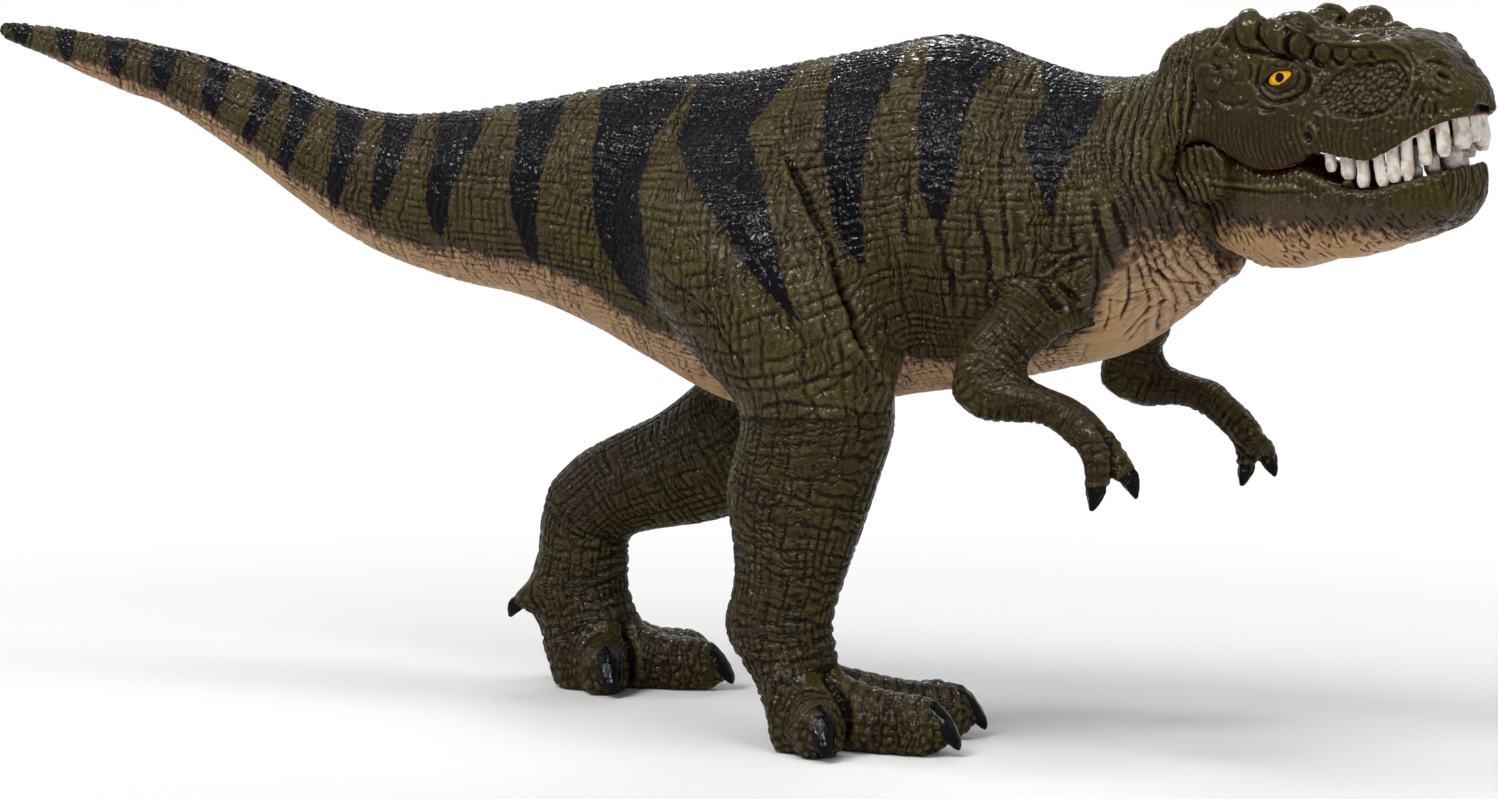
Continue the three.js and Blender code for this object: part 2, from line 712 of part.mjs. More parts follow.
// The groove that a row of teeth is set in, open at the lip
function toothGroove(line, gumOffset) {
  const steps = 32;
  const half = toothWidth * 0.46 + clearance * 1.2;
  const behind = gumHeight / 2 + clearance;
  const [above, below] = gumOffset > 0 ? [behind, gumHeight * 2] : [gumHeight * 2, behind];
  const rows = Array.from({ length: steps + 1 }, (_, n) => {
    const { x, y, z } = line.getPointAt(n / steps);
    return [x, y, z + gumOffset, half, above, below];
  });
  const [before, first] = [rows[0], rows[1]];
  const grown = (row, next) => [row[0] - (next[0] - row[0]) * 0.4, ...row.slice(1)];
  rows[0] = grown(before, first);
  rows[steps] = grown(rows[steps], rows[steps - 1]);
  return squareLimb(rows);
}

function tongue() {
  const half = tongueWidth / 2;
  const floor = (share) => valueAt(floorShares, share, 2) * headHeight + clearance + tongueHeight * 0.35;
  return limb(tongueShares.map(([share, size]) => [
    share * headLength, 0, floor(share), half * size, tongueHeight * 0.65 * size, tongueHeight * 0.35,
  ]), { rising: sky, sides: 10, steps: 12 });
}

function ball(diameter, [x, y, z], side, grow = 0) {
  const shape = new THREE.SphereGeometry(diameter / 2 + grow, 14, 9);
  shape.translate(x * headLength, y * headWidth * side, z * headHeight);
  return solid(shape);
}

// A brow boss is a ball drawn out along the head
function brow([x, y, z, size], side) {
  const shape = new THREE.SphereGeometry(browSize / 2 * size, 10, 7);
  shape.scale(browStretchShare, 1, browHeightShare);
  shape.translate(x * headLength, y * headWidth * side, z * headHeight);
  return solid(shape);
}

const brows = [-1, 1].flatMap((side) => browShares.map((shares) => brow(shares, side)));
const nostrils = joined([-1, 1].map((side) => ball(nostrilWidth, nostrilShares, side)));
const eyes = { right: ball(eyeDiameter, eyeShares, -1), left: ball(eyeDiameter, eyeShares, 1) };
const eyeSockets = joined([-1, 1].map((side) => ball(eyeDiameter, eyeShares, side, clearance)));

// Neck seam: a plane square to the head, and the plug through its middle
const neckSeam = hinge.clone().addScaledVector(headForward, neckSeamShare * headLength);
const neckOffset = neckSeam.dot(headForward);
const neckPlug = headFrame.clone()
  .multiply(new THREE.Matrix4().makeTranslation(neckSeamShare * headLength, 0, headHeight * 0.06))
  .multiply(new THREE.Matrix4().makeRotationY(-Math.PI / 2));
const tailSeam = tailSeamShare * bodyLength;
const tailRow = valueAt(bodyShares, tailSeamShare, 1) + valueAt(bodyShares, tailSeamShare, 2);
const tailPlug = new THREE.Matrix4().makeRotationY(Math.PI / 2)
  .setPosition(tailSeam, 0, hipHeight + tailRow / 2 * bodyDepth);

const whole = body();
const forwards = [1, 0, 0];
const backwards = [-1, 0, 0];
const neckForward = headForward.toArray();
const neckBackward = headForward.clone().negate().toArray();

function tailPiece() {
  const cone = whole.trimByPlane(backwards, clearance / 2 - tailSeam);
  return cone.add(moved(peg(tailPlugDiameter, tailPlugLength), tailPlug));
}

function headPiece() {
  const nape = moved(whole.trimByPlane(neckForward, neckOffset + clearance / 2), headFrame.clone().invert())
    .trimByPlane(backwards, 0);
  const crown = joined([nape, skull(), ...brows]).subtract(jawSweep());
  const bored = crown.add(bearingBlock()).subtract(crossBar(boreDiameter, -overrun, overrun));
  const cut = bored.subtract(toothGroove(upperLine, upperGum)).subtract(eyeSockets).subtract(nostrils);
  return moved(largest(cut), headFrame).add(moved(peg(neckPlugDiameter, neckPlugLength), neckPlug));
}

function jawPiece() {
  const shell = jawShell(18).add(hingeDiscs()).subtract(mouthFloor());
  const blind = hingeHalf - pinCover + clearance;
  const bored = shell.subtract(crossBar(boreDiameter, -blind, blind));
  const slot = crossBar(hingeDiameter + 4 * clearance, -armInner, armInner);
  return largest(bored.subtract(slot).subtract(toothGroove(lowerLine, lowerGum)));
}

const toeSets = { right: rightToeShares, left: leftToeShares };
const spurSets = { right: rightSpurShares, left: leftSpurShares };
const legTables = { right: rightLegShares, left: leftLegShares };
const seams = {
  right: kneeSeam(rightKneeSeam, rightLegShares, -1),
  left: kneeSeam(leftKneeSeam, leftLegShares, 1),
};
const sideOf = { right: -1, left: 1 };
const sideNames = ['right', 'left'];
const legs = {};
for (const name of sideNames) {
  legs[name] = leg(legTables[name], toeSets[name], spurSets[name], sideOf[name]);
}

function torsoPiece() {
  let shape = whole.trimByPlane(forwards, tailSeam + clearance / 2)
    .trimByPlane(neckBackward, clearance / 2 - neckOffset);
  for (const name of sideNames) {
    const { normal, offset, plug } = seams[name];
    shape = shape.add(legs[name].trimByPlane(normal.toArray(), offset + clearance / 2));
    shape = shape.subtract(moved(peg(kneePlugDiameter, kneePlugLength, clearance), plug));
    shape = shape.subtract(arm(armPlaces[name], sideOf[name], socketGap));
  }
  shape = shape.subtract(moved(peg(tailPlugDiameter, tailPlugLength, clearance), tailPlug));
  return shape.subtract(moved(peg(neckPlugDiameter, neckPlugLength, clearance), neckPlug));
}

function lowerLegPiece(name) {
  const { normal, offset, plug } = seams[name];
  let shape = legs[name].trimByPlane(normal.clone().negate().toArray(), clearance / 2 - offset);
  shape = shape.add(moved(peg(kneePlugDiameter, kneePlugLength), plug));
  for (const shares of Object.values(toeSets[name])) {
    shape = shape.subtract(claw(shares, sideOf[name], clearance));
  }
  return shape.subtract(spurClaw(spurSets[name], sideOf[name], clearance));
}

function armPiece(name) {
  const [place, side] = [armPlaces[name], sideOf[name]];
  const hands = Object.values(fingerShares).map((shares) => finger(shares, place, side));
  let shape = joined([arm(place, side), ...hands]);
  for (const shares of Object.values(fingerShares)) {
    shape = shape.subtract(fingerClaw(shares, place, side, clearance));
  }
  return shape;
}

const figure = new THREE.Group();

function addPiece(name, shape, finish) {
  const mesh = new THREE.Mesh(geometryOf(shape), new THREE.MeshStandardMaterial(finish));
  mesh.name = name;
  figure.add(mesh);
}

addPiece('torso', torsoPiece(), skinFinish);
addPiece('tail', tailPiece(), skinFinish);
addPiece('head', headPiece(), skinFinish);
addPiece('lower_jaw', moved(jawPiece(), headFrame), throatFinish);
addPiece('upper_teeth', moved(upperTeeth(), headFrame), toothFinish);
addPiece('lower_teeth', moved(lowerTeeth(), headFrame), toothFinish);
addPiece('tongue', moved(tongue(), headFrame), mouthFinish);
const pinHalf = hingeHalf - pinCover;
addPiece('jaw_pin', moved(crossBar(pinDiameter, -pinHalf, pinHalf), headFrame), pinFinish);
for (const name of sideNames) {
  const side = sideOf[name];
  addPiece(`${name}_eye`, moved(eyes[name], headFrame), eyeFinish);
  addPiece(`${name}_lower_leg`, lowerLegPiece(name), skinFinish);
  addPiece(`${name}_arm`, armPiece(name), skinFinish);
  for (const [toeName, shares] of Object.entries(toeSets[name])) {
    addPiece(`${name}_${toeName}_claw`, claw(shares, side), clawFinish);
  }
  addPiece(`${name}_spur_claw`, spurClaw(spurSets[name], side), clawFinish);
  for (const [fingerName, shares] of Object.entries(fingerShares)) {
    addPiece(`${name}_${fingerName}_finger_claw`, fingerClaw(shares, armPlaces[name], side), clawFinish);
  }
}

// The origin is on the ground below the middle of the figure
const bounds = new THREE.Box3().setFromObject(figure);
const middle = bounds.getCenter(vector(0, 0, 0));
figure.position.set(-middle.x, -middle.y, -bounds.min.z);

export default figure;
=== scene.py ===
import json
import math

import bmesh
import bpy
import numpy as np
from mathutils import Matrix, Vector
from mathutils.bvhtree import BVHTree


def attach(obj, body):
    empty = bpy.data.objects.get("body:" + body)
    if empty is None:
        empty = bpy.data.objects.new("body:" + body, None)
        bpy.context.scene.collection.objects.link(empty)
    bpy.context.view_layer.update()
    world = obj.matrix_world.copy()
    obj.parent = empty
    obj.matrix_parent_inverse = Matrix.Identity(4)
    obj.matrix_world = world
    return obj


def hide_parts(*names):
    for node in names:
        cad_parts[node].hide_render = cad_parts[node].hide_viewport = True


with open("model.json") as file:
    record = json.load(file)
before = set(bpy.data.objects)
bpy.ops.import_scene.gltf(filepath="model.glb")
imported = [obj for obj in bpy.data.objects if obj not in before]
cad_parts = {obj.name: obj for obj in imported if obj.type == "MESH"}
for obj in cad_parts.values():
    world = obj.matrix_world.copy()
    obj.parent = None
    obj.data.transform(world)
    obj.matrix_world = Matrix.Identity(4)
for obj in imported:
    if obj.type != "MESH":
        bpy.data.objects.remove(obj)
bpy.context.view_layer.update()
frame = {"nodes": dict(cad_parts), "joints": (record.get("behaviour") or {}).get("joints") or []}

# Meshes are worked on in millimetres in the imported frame, and become metres when they are made pieces.
# Lines along the body and the limbs are given in the frame of the part's source, which SHIFT moves here.
MM = 0.001
HINGE = np.array(frame["joints"][0]["pos_m"]) / MM
HINGE_IN_SOURCE = np.array([89.03, -3.3, 94.976])
SHIFT = HINGE - HINGE_IN_SOURCE

# The photograph's camera: sizes and focus in its pixels, places in millimetres
PHOTO_SIZE = (1498, 799)
PHOTO_FOCUS = 2800
CAMERA_TURN = math.radians(25)
CAMERA_LIFT = math.radians(3)
CAMERA_DISTANCE = 487
CAMERA_TARGET = np.array([0, 0, 55.8]) + SHIFT
SENSOR = 36

camera_back = np.array([
    math.sin(CAMERA_TURN) * math.cos(CAMERA_LIFT),
    -math.cos(CAMERA_TURN) * math.cos(CAMERA_LIFT),
    math.sin(CAMERA_LIFT),
])
camera_right = np.array([math.cos(CAMERA_TURN), math.sin(CAMERA_TURN), 0])
camera_up = np.cross(camera_right, -camera_back)
camera_place = CAMERA_TARGET + camera_back * CAMERA_DISTANCE
PX_PER_MM = PHOTO_FOCUS / CAMERA_DISTANCE


def in_photo(points):
    """Pixels of the photograph where points in millimetres lie."""
    rays = points - camera_place
    depth = -(rays @ camera_back)
    across = PHOTO_SIZE[0] / 2 + PHOTO_FOCUS * (rays @ camera_right) / depth
    down = PHOTO_SIZE[1] / 2 - PHOTO_FOCUS * (rays @ camera_up) / depth
    return np.stack([across, down], 1)


# The head's own frame: forward, left and up from the jaw hinge
HEAD_TURN = math.radians(20)
HEAD_NOD = math.radians(4)
HEAD_ROLL = math.radians(6)


def turn_about(axis, angle):
    """A rotation matrix about the x, y or z axis."""
    first, second = [(1, 2), (2, 0), (0, 1)][axis]
    matrix = np.eye(3)
    matrix[first, first] = matrix[second, second] = math.cos(angle)
    matrix[second, first] = math.sin(angle)
    matrix[first, second] = -math.sin(angle)
    return matrix


head_axes = turn_about(2, -HEAD_TURN) @ turn_about(1, -HEAD_NOD) @ turn_about(0, HEAD_ROLL)


def to_head(points):
    return (points - HINGE) @ head_axes


def from_head(points):
    return points @ head_axes.T + HINGE


# Numbers, noise and distances


def ease(value, low, high):
    """0 below low, 1 above high, and smooth between; low may be the larger."""
    t = np.clip((value - low) / (high - low), 0, 1)
    return t * t * (3 - 2 * t)


def bell(value, width):
    return np.exp(-(value / width) ** 2)


# A cell's code holds three numbers from 0 to this
CODE_STEPS = 1023
# Brings the noise to about -1 to 1
NOISE_GAIN = 1.5
# How much farther than the nearest middle the second has to be where a pebble has its full height
PEBBLE_EDGE = 0.45


def hashed(x, y, z, seed):
    """A code for every whole place, the same in every run."""
    mixed = x * np.uint32(73856093) ^ y * np.uint32(19349663) ^ z * np.uint32(83492791)
    mixed = mixed ^ np.uint32(seed * 7919 + 17)
    mixed = (mixed ^ (mixed >> np.uint32(15))) * np.uint32(2246822519)
    mixed = (mixed ^ (mixed >> np.uint32(13))) * np.uint32(3266489917)
    return mixed ^ (mixed >> np.uint32(16))


def corner_of(cells, offset):
    """A corner of each cell as three whole numbers of 32 bits, which wrap round below 0."""
    moved = cells + np.array(offset)
    return [moved[:, axis].astype(np.int64).astype(np.uint32) for axis in range(3)]


def noise(points, seed):
    """Smooth gradient noise from about -1 to 1 with features about one unit apart.

    Every pattern has a seed of its own, so that no two of them repeat each other.
    """
    cells = np.floor(points).astype(np.int64)
    inside = points - cells
    blend = inside ** 3 * (inside * (inside * 6 - 15) + 10)
    total = np.zeros(len(points))
    for corner in range(8):
        offset = np.array([corner & 1, corner >> 1 & 1, corner >> 2 & 1])
        code = hashed(*corner_of(cells, offset), seed)
        weight = np.prod(np.where(offset, blend, 1 - blend), axis=1)
        slope = np.zeros(len(points))
        for axis in range(3):
            part = (code >> np.uint32(10 * axis)) & np.uint32(CODE_STEPS)
            slope += (part / (CODE_STEPS / 2) - 1) * (inside[:, axis] - offset[axis])
        total += weight * slope
    return total * NOISE_GAIN


def pebbles(points, seed):
    """Rounded bumps in cells about one unit wide, 1 at their tops and 0 in the gaps."""
    cells = np.floor(points).astype(np.int64)
    nearest = np.full(len(points), 9.0)
    second = np.full(len(points), 9.0)
    for corner in range(27):
        offset = np.array([corner % 3 - 1, corner // 3 % 3 - 1, corner // 9 - 1])
        code = hashed(*corner_of(cells, offset), seed)
        place = [(code >> np.uint32(10 * axis) & np.uint32(CODE_STEPS)) / CODE_STEPS for axis in range(3)]
        away = np.linalg.norm(points - cells - offset - np.stack(place, 1), axis=1)
        second = np.minimum(second, np.maximum(nearest, away))
        nearest = np.minimum(nearest, away)
    return ease(second - nearest, 0, PEBBLE_EDGE)


def to_line(points, line):
    """Distance to an open line in two or three dimensions, and how far along it the nearest place is."""
    line = np.array(line, float)
    best = np.full(len(points), 1e9)
    along = np.zeros(len(points))
    gone = 0
    for start, end in zip(line[:-1], line[1:]):
        run = end - start
        length = np.linalg.norm(run)
        t = np.clip((points - start) @ run / length ** 2, 0, 1)
        away = np.linalg.norm(points - start - t[:, None] * run, axis=1)
        closer = away < best
        best = np.where(closer, away, best)
        along = np.where(closer, gone + t * length, along)
        gone += length
    return best, along, gone


def inside_outline(points, outline):
    """Signed distance to a closed outline: positive inside."""
    outline = np.array(outline, float)
    away = to_line(points, np.vstack([outline, outline[:1]]))[0]
    odd = np.zeros(len(points), bool)
    for start, end in zip(outline, np.roll(outline, -1, 0)):
        crosses = (start[1] > points[:, 1]) != (end[1] > points[:, 1])
        rise = end[1] - start[1] if end[1] != start[1] else 1e-9
        reach = start[0] + (points[:, 1] - start[1]) * (end[0] - start[0]) / rise
        odd ^= crosses & (points[:, 0] < reach)
    return np.where(odd, away, -away)


# Meshes as arrays


class Skin:
    """A mesh as arrays: points in millimetres, four-sided faces, and edges."""

    def __init__(self, mesh):
        self.points = np.zeros(len(mesh.vertices) * 3)
        mesh.vertices.foreach_get("co", self.points)
        self.points = self.points.reshape(-1, 3)
        self.edges = np.zeros(len(mesh.edges) * 2, np.int64)
        mesh.edges.foreach_get("vertices", self.edges)
        self.edges = self.edges.reshape(-1, 2)
        corners = np.zeros(len(mesh.loops), np.int64)
        mesh.loops.foreach_get("vertex_index", corners)
        self.faces = corners.reshape(-1, 4) if len(corners) == 4 * len(mesh.polygons) else None

    def spread(self, values):
        """The mean of a value over each point's neighbours."""
        a, b = self.edges.T
        count = np.bincount(self.edges.ravel(), minlength=len(self.points))
        columns = values.reshape(len(values), -1)
        out = np.zeros_like(columns)
        for column in range(columns.shape[1]):
            out[:, column] = np.bincount(a, columns[b, column], len(values))
            out[:, column] += np.bincount(b, columns[a, column], len(values))
        return (out / np.maximum(count, 1)[:, None]).reshape(values.shape)

    def smooth(self, rounds, most, pull=0.5):
        """Relaxes each point as many rounds as its own number says."""
        for step in range(most):
            share = np.clip(rounds - step, 0, 1)[:, None] * pull
            self.points += (self.spread(self.points) - self.points) * share

    def calm(self, values, rounds):
        for _ in range(rounds):
            values = (values + self.spread(values)) / 2
        return values

    def normals(self):
        a, b, c, d = [self.points[self.faces[:, n]] for n in range(4)]
        flat = np.cross(c - a, d - b)
        out = np.zeros_like(self.points)
        for axis in range(3):
            weights = np.repeat(flat[:, axis], 4)
            out[:, axis] = np.bincount(self.faces.ravel(), weights, len(self.points))
        return out / np.maximum(np.linalg.norm(out, axis=1), 1e-12)[:, None]

    def push(self, heights):
        self.points += self.normals() * heights[:, None]

    def bend(self, rounds):
        """How far the neighbours of each point stand out past it: positive in a hollow."""
        return self.calm(((self.spread(self.points) - self.points) * self.normals()).sum(1), rounds)

    def wash(self, relief, form):
        """How deep each point lies in a groove of the relief, or below 0 how high it stands."""
        hollow = np.clip((self.calm(relief, form["reach"]) - relief) / form["depth"], -1, 1)
        bent = np.clip(self.bend(form["calm"]) / form["bend"], -1, 1)
        return hollow + bent * form["share"]


def evaluated(mesh, kind, **settings):
    """A mesh with one modifier applied."""
    carrier = bpy.data.objects.new("work", mesh)
    bpy.context.scene.collection.objects.link(carrier)
    modifier = carrier.modifiers.new("work", kind)
    for key, value in settings.items():
        setattr(modifier, key, value)
    graph = bpy.context.evaluated_depsgraph_get()
    out = bpy.data.meshes.new_from_object(carrier.evaluated_get(graph))
    bpy.data.objects.remove(carrier)
    return out


def mesh_of(name, points, corners, sizes):
    """A mesh from its points, the corners of its faces end to end, and how many corners each face has."""
    mesh = bpy.data.meshes.new(name)
    mesh.vertices.add(len(points))
    mesh.vertices.foreach_set("co", np.asarray(points, np.float32).ravel())
    mesh.loops.add(len(corners))
    mesh.loops.foreach_set("vertex_index", corners.astype(np.int32))
    mesh.polygons.add(len(sizes))
    starts = np.concatenate([[0], np.cumsum(sizes)[:-1]])
    mesh.polygons.foreach_set("loop_start", starts.astype(np.int32))
    mesh.update(calc_edges=True)
    return mesh


def plain_mesh(points, faces):
    return mesh_of("work", points, np.concatenate(faces), np.array([len(face) for face in faces]))


def node_shell(names, grow=0.0):
    """CAD nodes as one welded triangle soup in millimetres, each grown a little along its normals."""
    points = []
    faces = []
    for name in names:
        work = bmesh.new()
        work.from_mesh(frame["nodes"][name].data)
        bmesh.ops.remove_doubles(work, verts=work.verts, dist=1e-6)
        work.normal_update()
        work.verts.ensure_lookup_table()
        first = len(points)
        points += [(np.array(vert.co) / MM + np.array(vert.normal) * grow) for vert in work.verts]
        faces += [[first + vert.index for vert in face.verts] for face in work.faces]
        work.free()
    return np.array(points), faces


def connected(count, links):
    """The lowest number in the group of each of so many items; every row of links joins its items."""
    group = np.arange(count)
    before = None
    while not np.array_equal(group, before):
        before = group.copy()
        low = group[links].min(1)
        for column in links.T:
            np.minimum.at(group, column, low)
        group = group[group]
    return group


def largest_part(points, faces):
    """Keeps the largest connected piece of a mesh of four-sided faces."""
    group = connected(len(points), faces)
    names, sizes = np.unique(group[faces[:, 0]], return_counts=True)
    keep = group[faces[:, 0]] == names[sizes.argmax()]
    used, renamed = np.unique(faces[keep], return_inverse=True)
    return points[used], renamed.reshape(-1, 4)


def remeshed(points, faces, voxel):
    """The outer surface of a mesh in even four-sided faces, without loose pieces."""
    shell = Skin(evaluated(plain_mesh(points, faces), "REMESH", mode="VOXEL", voxel_size=voxel))
    return largest_part(shell.points, shell.faces)


def subdivided(points, faces):
    """A mesh with each face rounded and split in four."""
    return Skin(evaluated(plain_mesh(points, faces), "SUBSURF", levels=1))


def smoothed(points, faces, rounds):
    """A mesh relaxed evenly."""
    shell = Skin(plain_mesh(points, faces))
    shell.smooth(np.full(len(points), rounds), rounds)
    return shell


def fine_node(name, grow, voxel, rounds):
    """A CAD node as a smooth skin of even small faces."""
    points, faces = remeshed(*node_shell([name], grow), voxel)
    return subdivided(smoothed(points, faces, rounds).points, faces)


# The master skin

SKIN_NODES = ["torso", "tail", "head", "right_lower_leg", "left_lower_leg", "right_arm", "left_arm"]
SEAM_GROW = 0.2
SKIN_VOXEL = 0.8
HEAD_DENSITY = 1.75
DENSE_FROM = -7
DENSE_BY = 6
DENSE_REACH = 400
DENSE_STEPS = 8001


def dense_head(points, back=False):
    """Stretches the space round the head, so that the remesh gives the head finer faces."""
    local = to_head(points)
    steps = np.linspace(-DENSE_REACH, DENSE_REACH, DENSE_STEPS)
    scale = 1 + (HEAD_DENSITY - 1) * ease(steps, DENSE_FROM, DENSE_BY)
    reach = np.cumsum(scale) * (steps[1] - steps[0])
    reach -= np.interp(DENSE_FROM, steps, reach) - DENSE_FROM
    if back:
        forward = np.interp(local[:, 0], reach, steps)
        size = 1 / np.interp(forward, steps, scale)
    else:
        forward = np.interp(local[:, 0], steps, reach)
        size = np.interp(local[:, 0], steps, scale)
    return from_head(np.stack([forward, local[:, 1] * size, local[:, 2] * size], 1))


def labels_of(points, names):
    """The index of the CAD node whose surface is nearest to each point."""
    corners = []
    faces = []
    owner = []
    for index, name in enumerate(names):
        mesh = frame["nodes"][name].data
        first = len(corners)
        corners += [np.array(vert.co) / MM for vert in mesh.vertices]
        faces += [[first + corner for corner in face.vertices] for face in mesh.polygons]
        owner += [index] * len(mesh.polygons)
    tree = BVHTree.FromPolygons([Vector(corner) for corner in corners], faces)
    return np.array([owner[tree.find_nearest(Vector(point))[2]] for point in points])


# How often islands are looked for, as a large one is given away from its edge inwards
ISLAND_ROUNDS = 3


def one_patch_each(faces, labels, count):
    """Gives stray islands of a label to a neighbouring label."""
    corners = np.sort(np.stack([faces, np.roll(faces, -1, 1)], 2).reshape(-1, 2), axis=1)
    owners = np.repeat(np.arange(len(faces)), 4)
    key = corners[:, 0] * (faces.max() + 1) + corners[:, 1]
    order = np.argsort(key, kind="stable")
    same = key[order][:-1] == key[order][1:]
    pairs = np.stack([owners[order][:-1][same], owners[order][1:][same]], 1)
    for _ in range(ISLAND_ROUNDS):
        group = connected(len(faces), pairs[labels[pairs[:, 0]] == labels[pairs[:, 1]]])
        kept = set()
        for label in range(count):
            names, sizes = np.unique(group[labels == label], return_counts=True)
            kept.add(names[sizes.argmax()])
        stray = ~np.isin(group, list(kept))
        if not stray.any():
            break
        for first, second in ((0, 1), (1, 0)):
            fix = stray[pairs[:, first]] & ~stray[pairs[:, second]]
            labels[pairs[fix, first]] = labels[pairs[fix, second]]
    return labels


def labels_on_points(count, faces, labels):
    """The label of a face that each point is a corner of."""
    out = np.zeros(count, int)
    out[faces.ravel()] = np.repeat(labels, 4)
    return out


# The flesh round a claw: how much of the claw's length it covers, and how thick it is
SLEEVES = [("lower_leg", "outer_claw", 0.76, 1.6), ("lower_leg", "middle_claw", 0.76, 1.5),
           ("lower_leg", "inner_claw", 0.72, 1.4), ("lower_leg", "spur_claw", 0.6, 1.2),
           ("arm", "outer_finger_claw", 0.75, 1.0), ("arm", "inner_finger_claw", 0.75, 1.0)]
CLAW_BASE_SHARE = 0.8


def sleeve(limb, name, share, thick):
    """A claw's shell drawn back towards its base and grown, for the flesh that holds it."""
    bare, faces = node_shell([name])
    grown = node_shell([name], thick / share)[0]
    away = np.linalg.norm(bare - node_shell([limb])[0].mean(0), axis=1)
    from_tip = np.linalg.norm(bare - bare[away.argmax()], axis=1)
    base = bare[from_tip > from_tip.max() * CLAW_BASE_SHARE].mean(0)
    return base + (grown - base) * share, faces


points, faces = node_shell(SKIN_NODES + ["right_eye", "left_eye"], SEAM_GROW)
for side in ("right", "left"):
    for limb, claw, share, thick in SLEEVES:
        more, more_faces = sleeve(f"{side}_{limb}", f"{side}_{claw}", share, thick)
        faces += [[len(points) + corner for corner in face] for face in more_faces]
        points = np.vstack([points, more])
points, faces = remeshed(dense_head(points), faces, SKIN_VOXEL)
points = dense_head(points, back=True)
middles = points[faces].mean(1)
face_labels = one_patch_each(faces, labels_of(middles, SKIN_NODES), len(SKIN_NODES))

# Rounds of smoothing by piece: the broad body most, the small forms least
SMOOTHING = {"torso": 60, "tail": 60, "head": 7, "lower_leg": 16, "arm": 10}
SMOOTHING_BLEND = 20
# Past these places, in millimetres, feet and tail tip get fewer rounds, and the shoulders more
FOOT_TOP = 14
TAIL_TIP_FROM = -128
SHOULDER_FROM = 60
FOOT_SMOOTHING = 6
SHOULDER_SMOOTHING = 45
# How far the tip of the tail is drawn out backwards, and between which places that sets in
TAIL_EXTENSION = 2.0
TAIL_EXTENSION_FROM = -146
TAIL_EXTENSION_BY = -160

coarse = Skin(plain_mesh(points, faces))
point_labels = labels_on_points(len(points), faces, face_labels)
rounds = np.zeros(len(points))
for index, name in enumerate(SKIN_NODES):
    key = name.replace("right_", "").replace("left_", "")
    rounds[point_labels == index] = SMOOTHING[key]
shoulder = (rounds == SMOOTHING["arm"]) & (points[:, 2] > SHOULDER_FROM)
rounds[shoulder] = SHOULDER_SMOOTHING
low = points[:, 2] < FOOT_TOP
rounds[low] = np.minimum(rounds[low], FOOT_SMOOTHING)
tail_tip = points[:, 0] - SHIFT[0] < TAIL_TIP_FROM
rounds[tail_tip] = np.minimum(rounds[tail_tip], FOOT_SMOOTHING)
coarse.smooth(coarse.calm(rounds, SMOOTHING_BLEND), max(SMOOTHING.values()))
backward = ease(coarse.points[:, 0] - SHIFT[0], TAIL_EXTENSION_FROM, TAIL_EXTENSION_BY)
coarse.points[:, 0] -= TAIL_EXTENSION * backward

skin = subdivided(coarse.points, faces)
face_labels = np.repeat(face_labels, 4)

# The body's coordinates

# Body stations in the source's frame: forward, height of the middle, half height, half width
BODY_ROWS = np.array([
    [-160, 125.2, 1.6, 1.6],
    [-152, 123.1, 2.9, 2.4],
    [-138, 118.8, 4.7, 3.8],
    [-120, 114.1, 6.5, 5.5],
    [-100, 105.5, 9.3, 7.6],
    [-80, 95.8, 12.5, 10],
    [-60, 91.8, 15.3, 12.2],
    [-40, 90.6, 18.4, 14.8],
    [-20, 87.6, 24.1, 17.6],
    [0, 83.7, 29.5, 20],
    [20, 85.6, 30.1, 21.8],
    [38, 88.3, 30.1, 22.2],
    [52, 87.2, 26.5, 20],
    [62, 86.8, 24, 17.4],
    [70, 87.5, 22.5, 15.8],
    [77, 91.2, 20.6, 14.8],
    [84, 96.2, 19.7, 14],
    [92, 98.4, 19.1, 13.2],
])
# How far the neck has turned to the right: forward and sideways
NECK_SHIFT = np.array([[52, 0], [62, -0.3], [70, -0.9], [77, -2.2], [84, -4.2], [92, -7]])

# How far a crease's swollen banks and the slope of a step reach, and how swollen the banks are
BANK_REACH = 4
BANK_SHARE = 0.12
STEP_REACH = 11
STEP_SPREAD = 14
# Forms from the photograph fade in between these, as the skin turns from its edge towards the camera
FACING_FROM = -0.05
FACING_BY = 0.25

# The body's slope is read this far to either side, and followed no more steeply than the second
SLOPE_REACH = 6
STEEPEST = 0.6
# Where the head's own frame takes over: forward and up
HEAD_FORWARD = (-16, -4)
HEAD_UPWARD = (-24, -12)
# How many pixels a crease strays from its line, and over how many millimetres
WANDER = 2.2
WANDER_SIZE = 4
UNEVEN_SIZE = 3.5


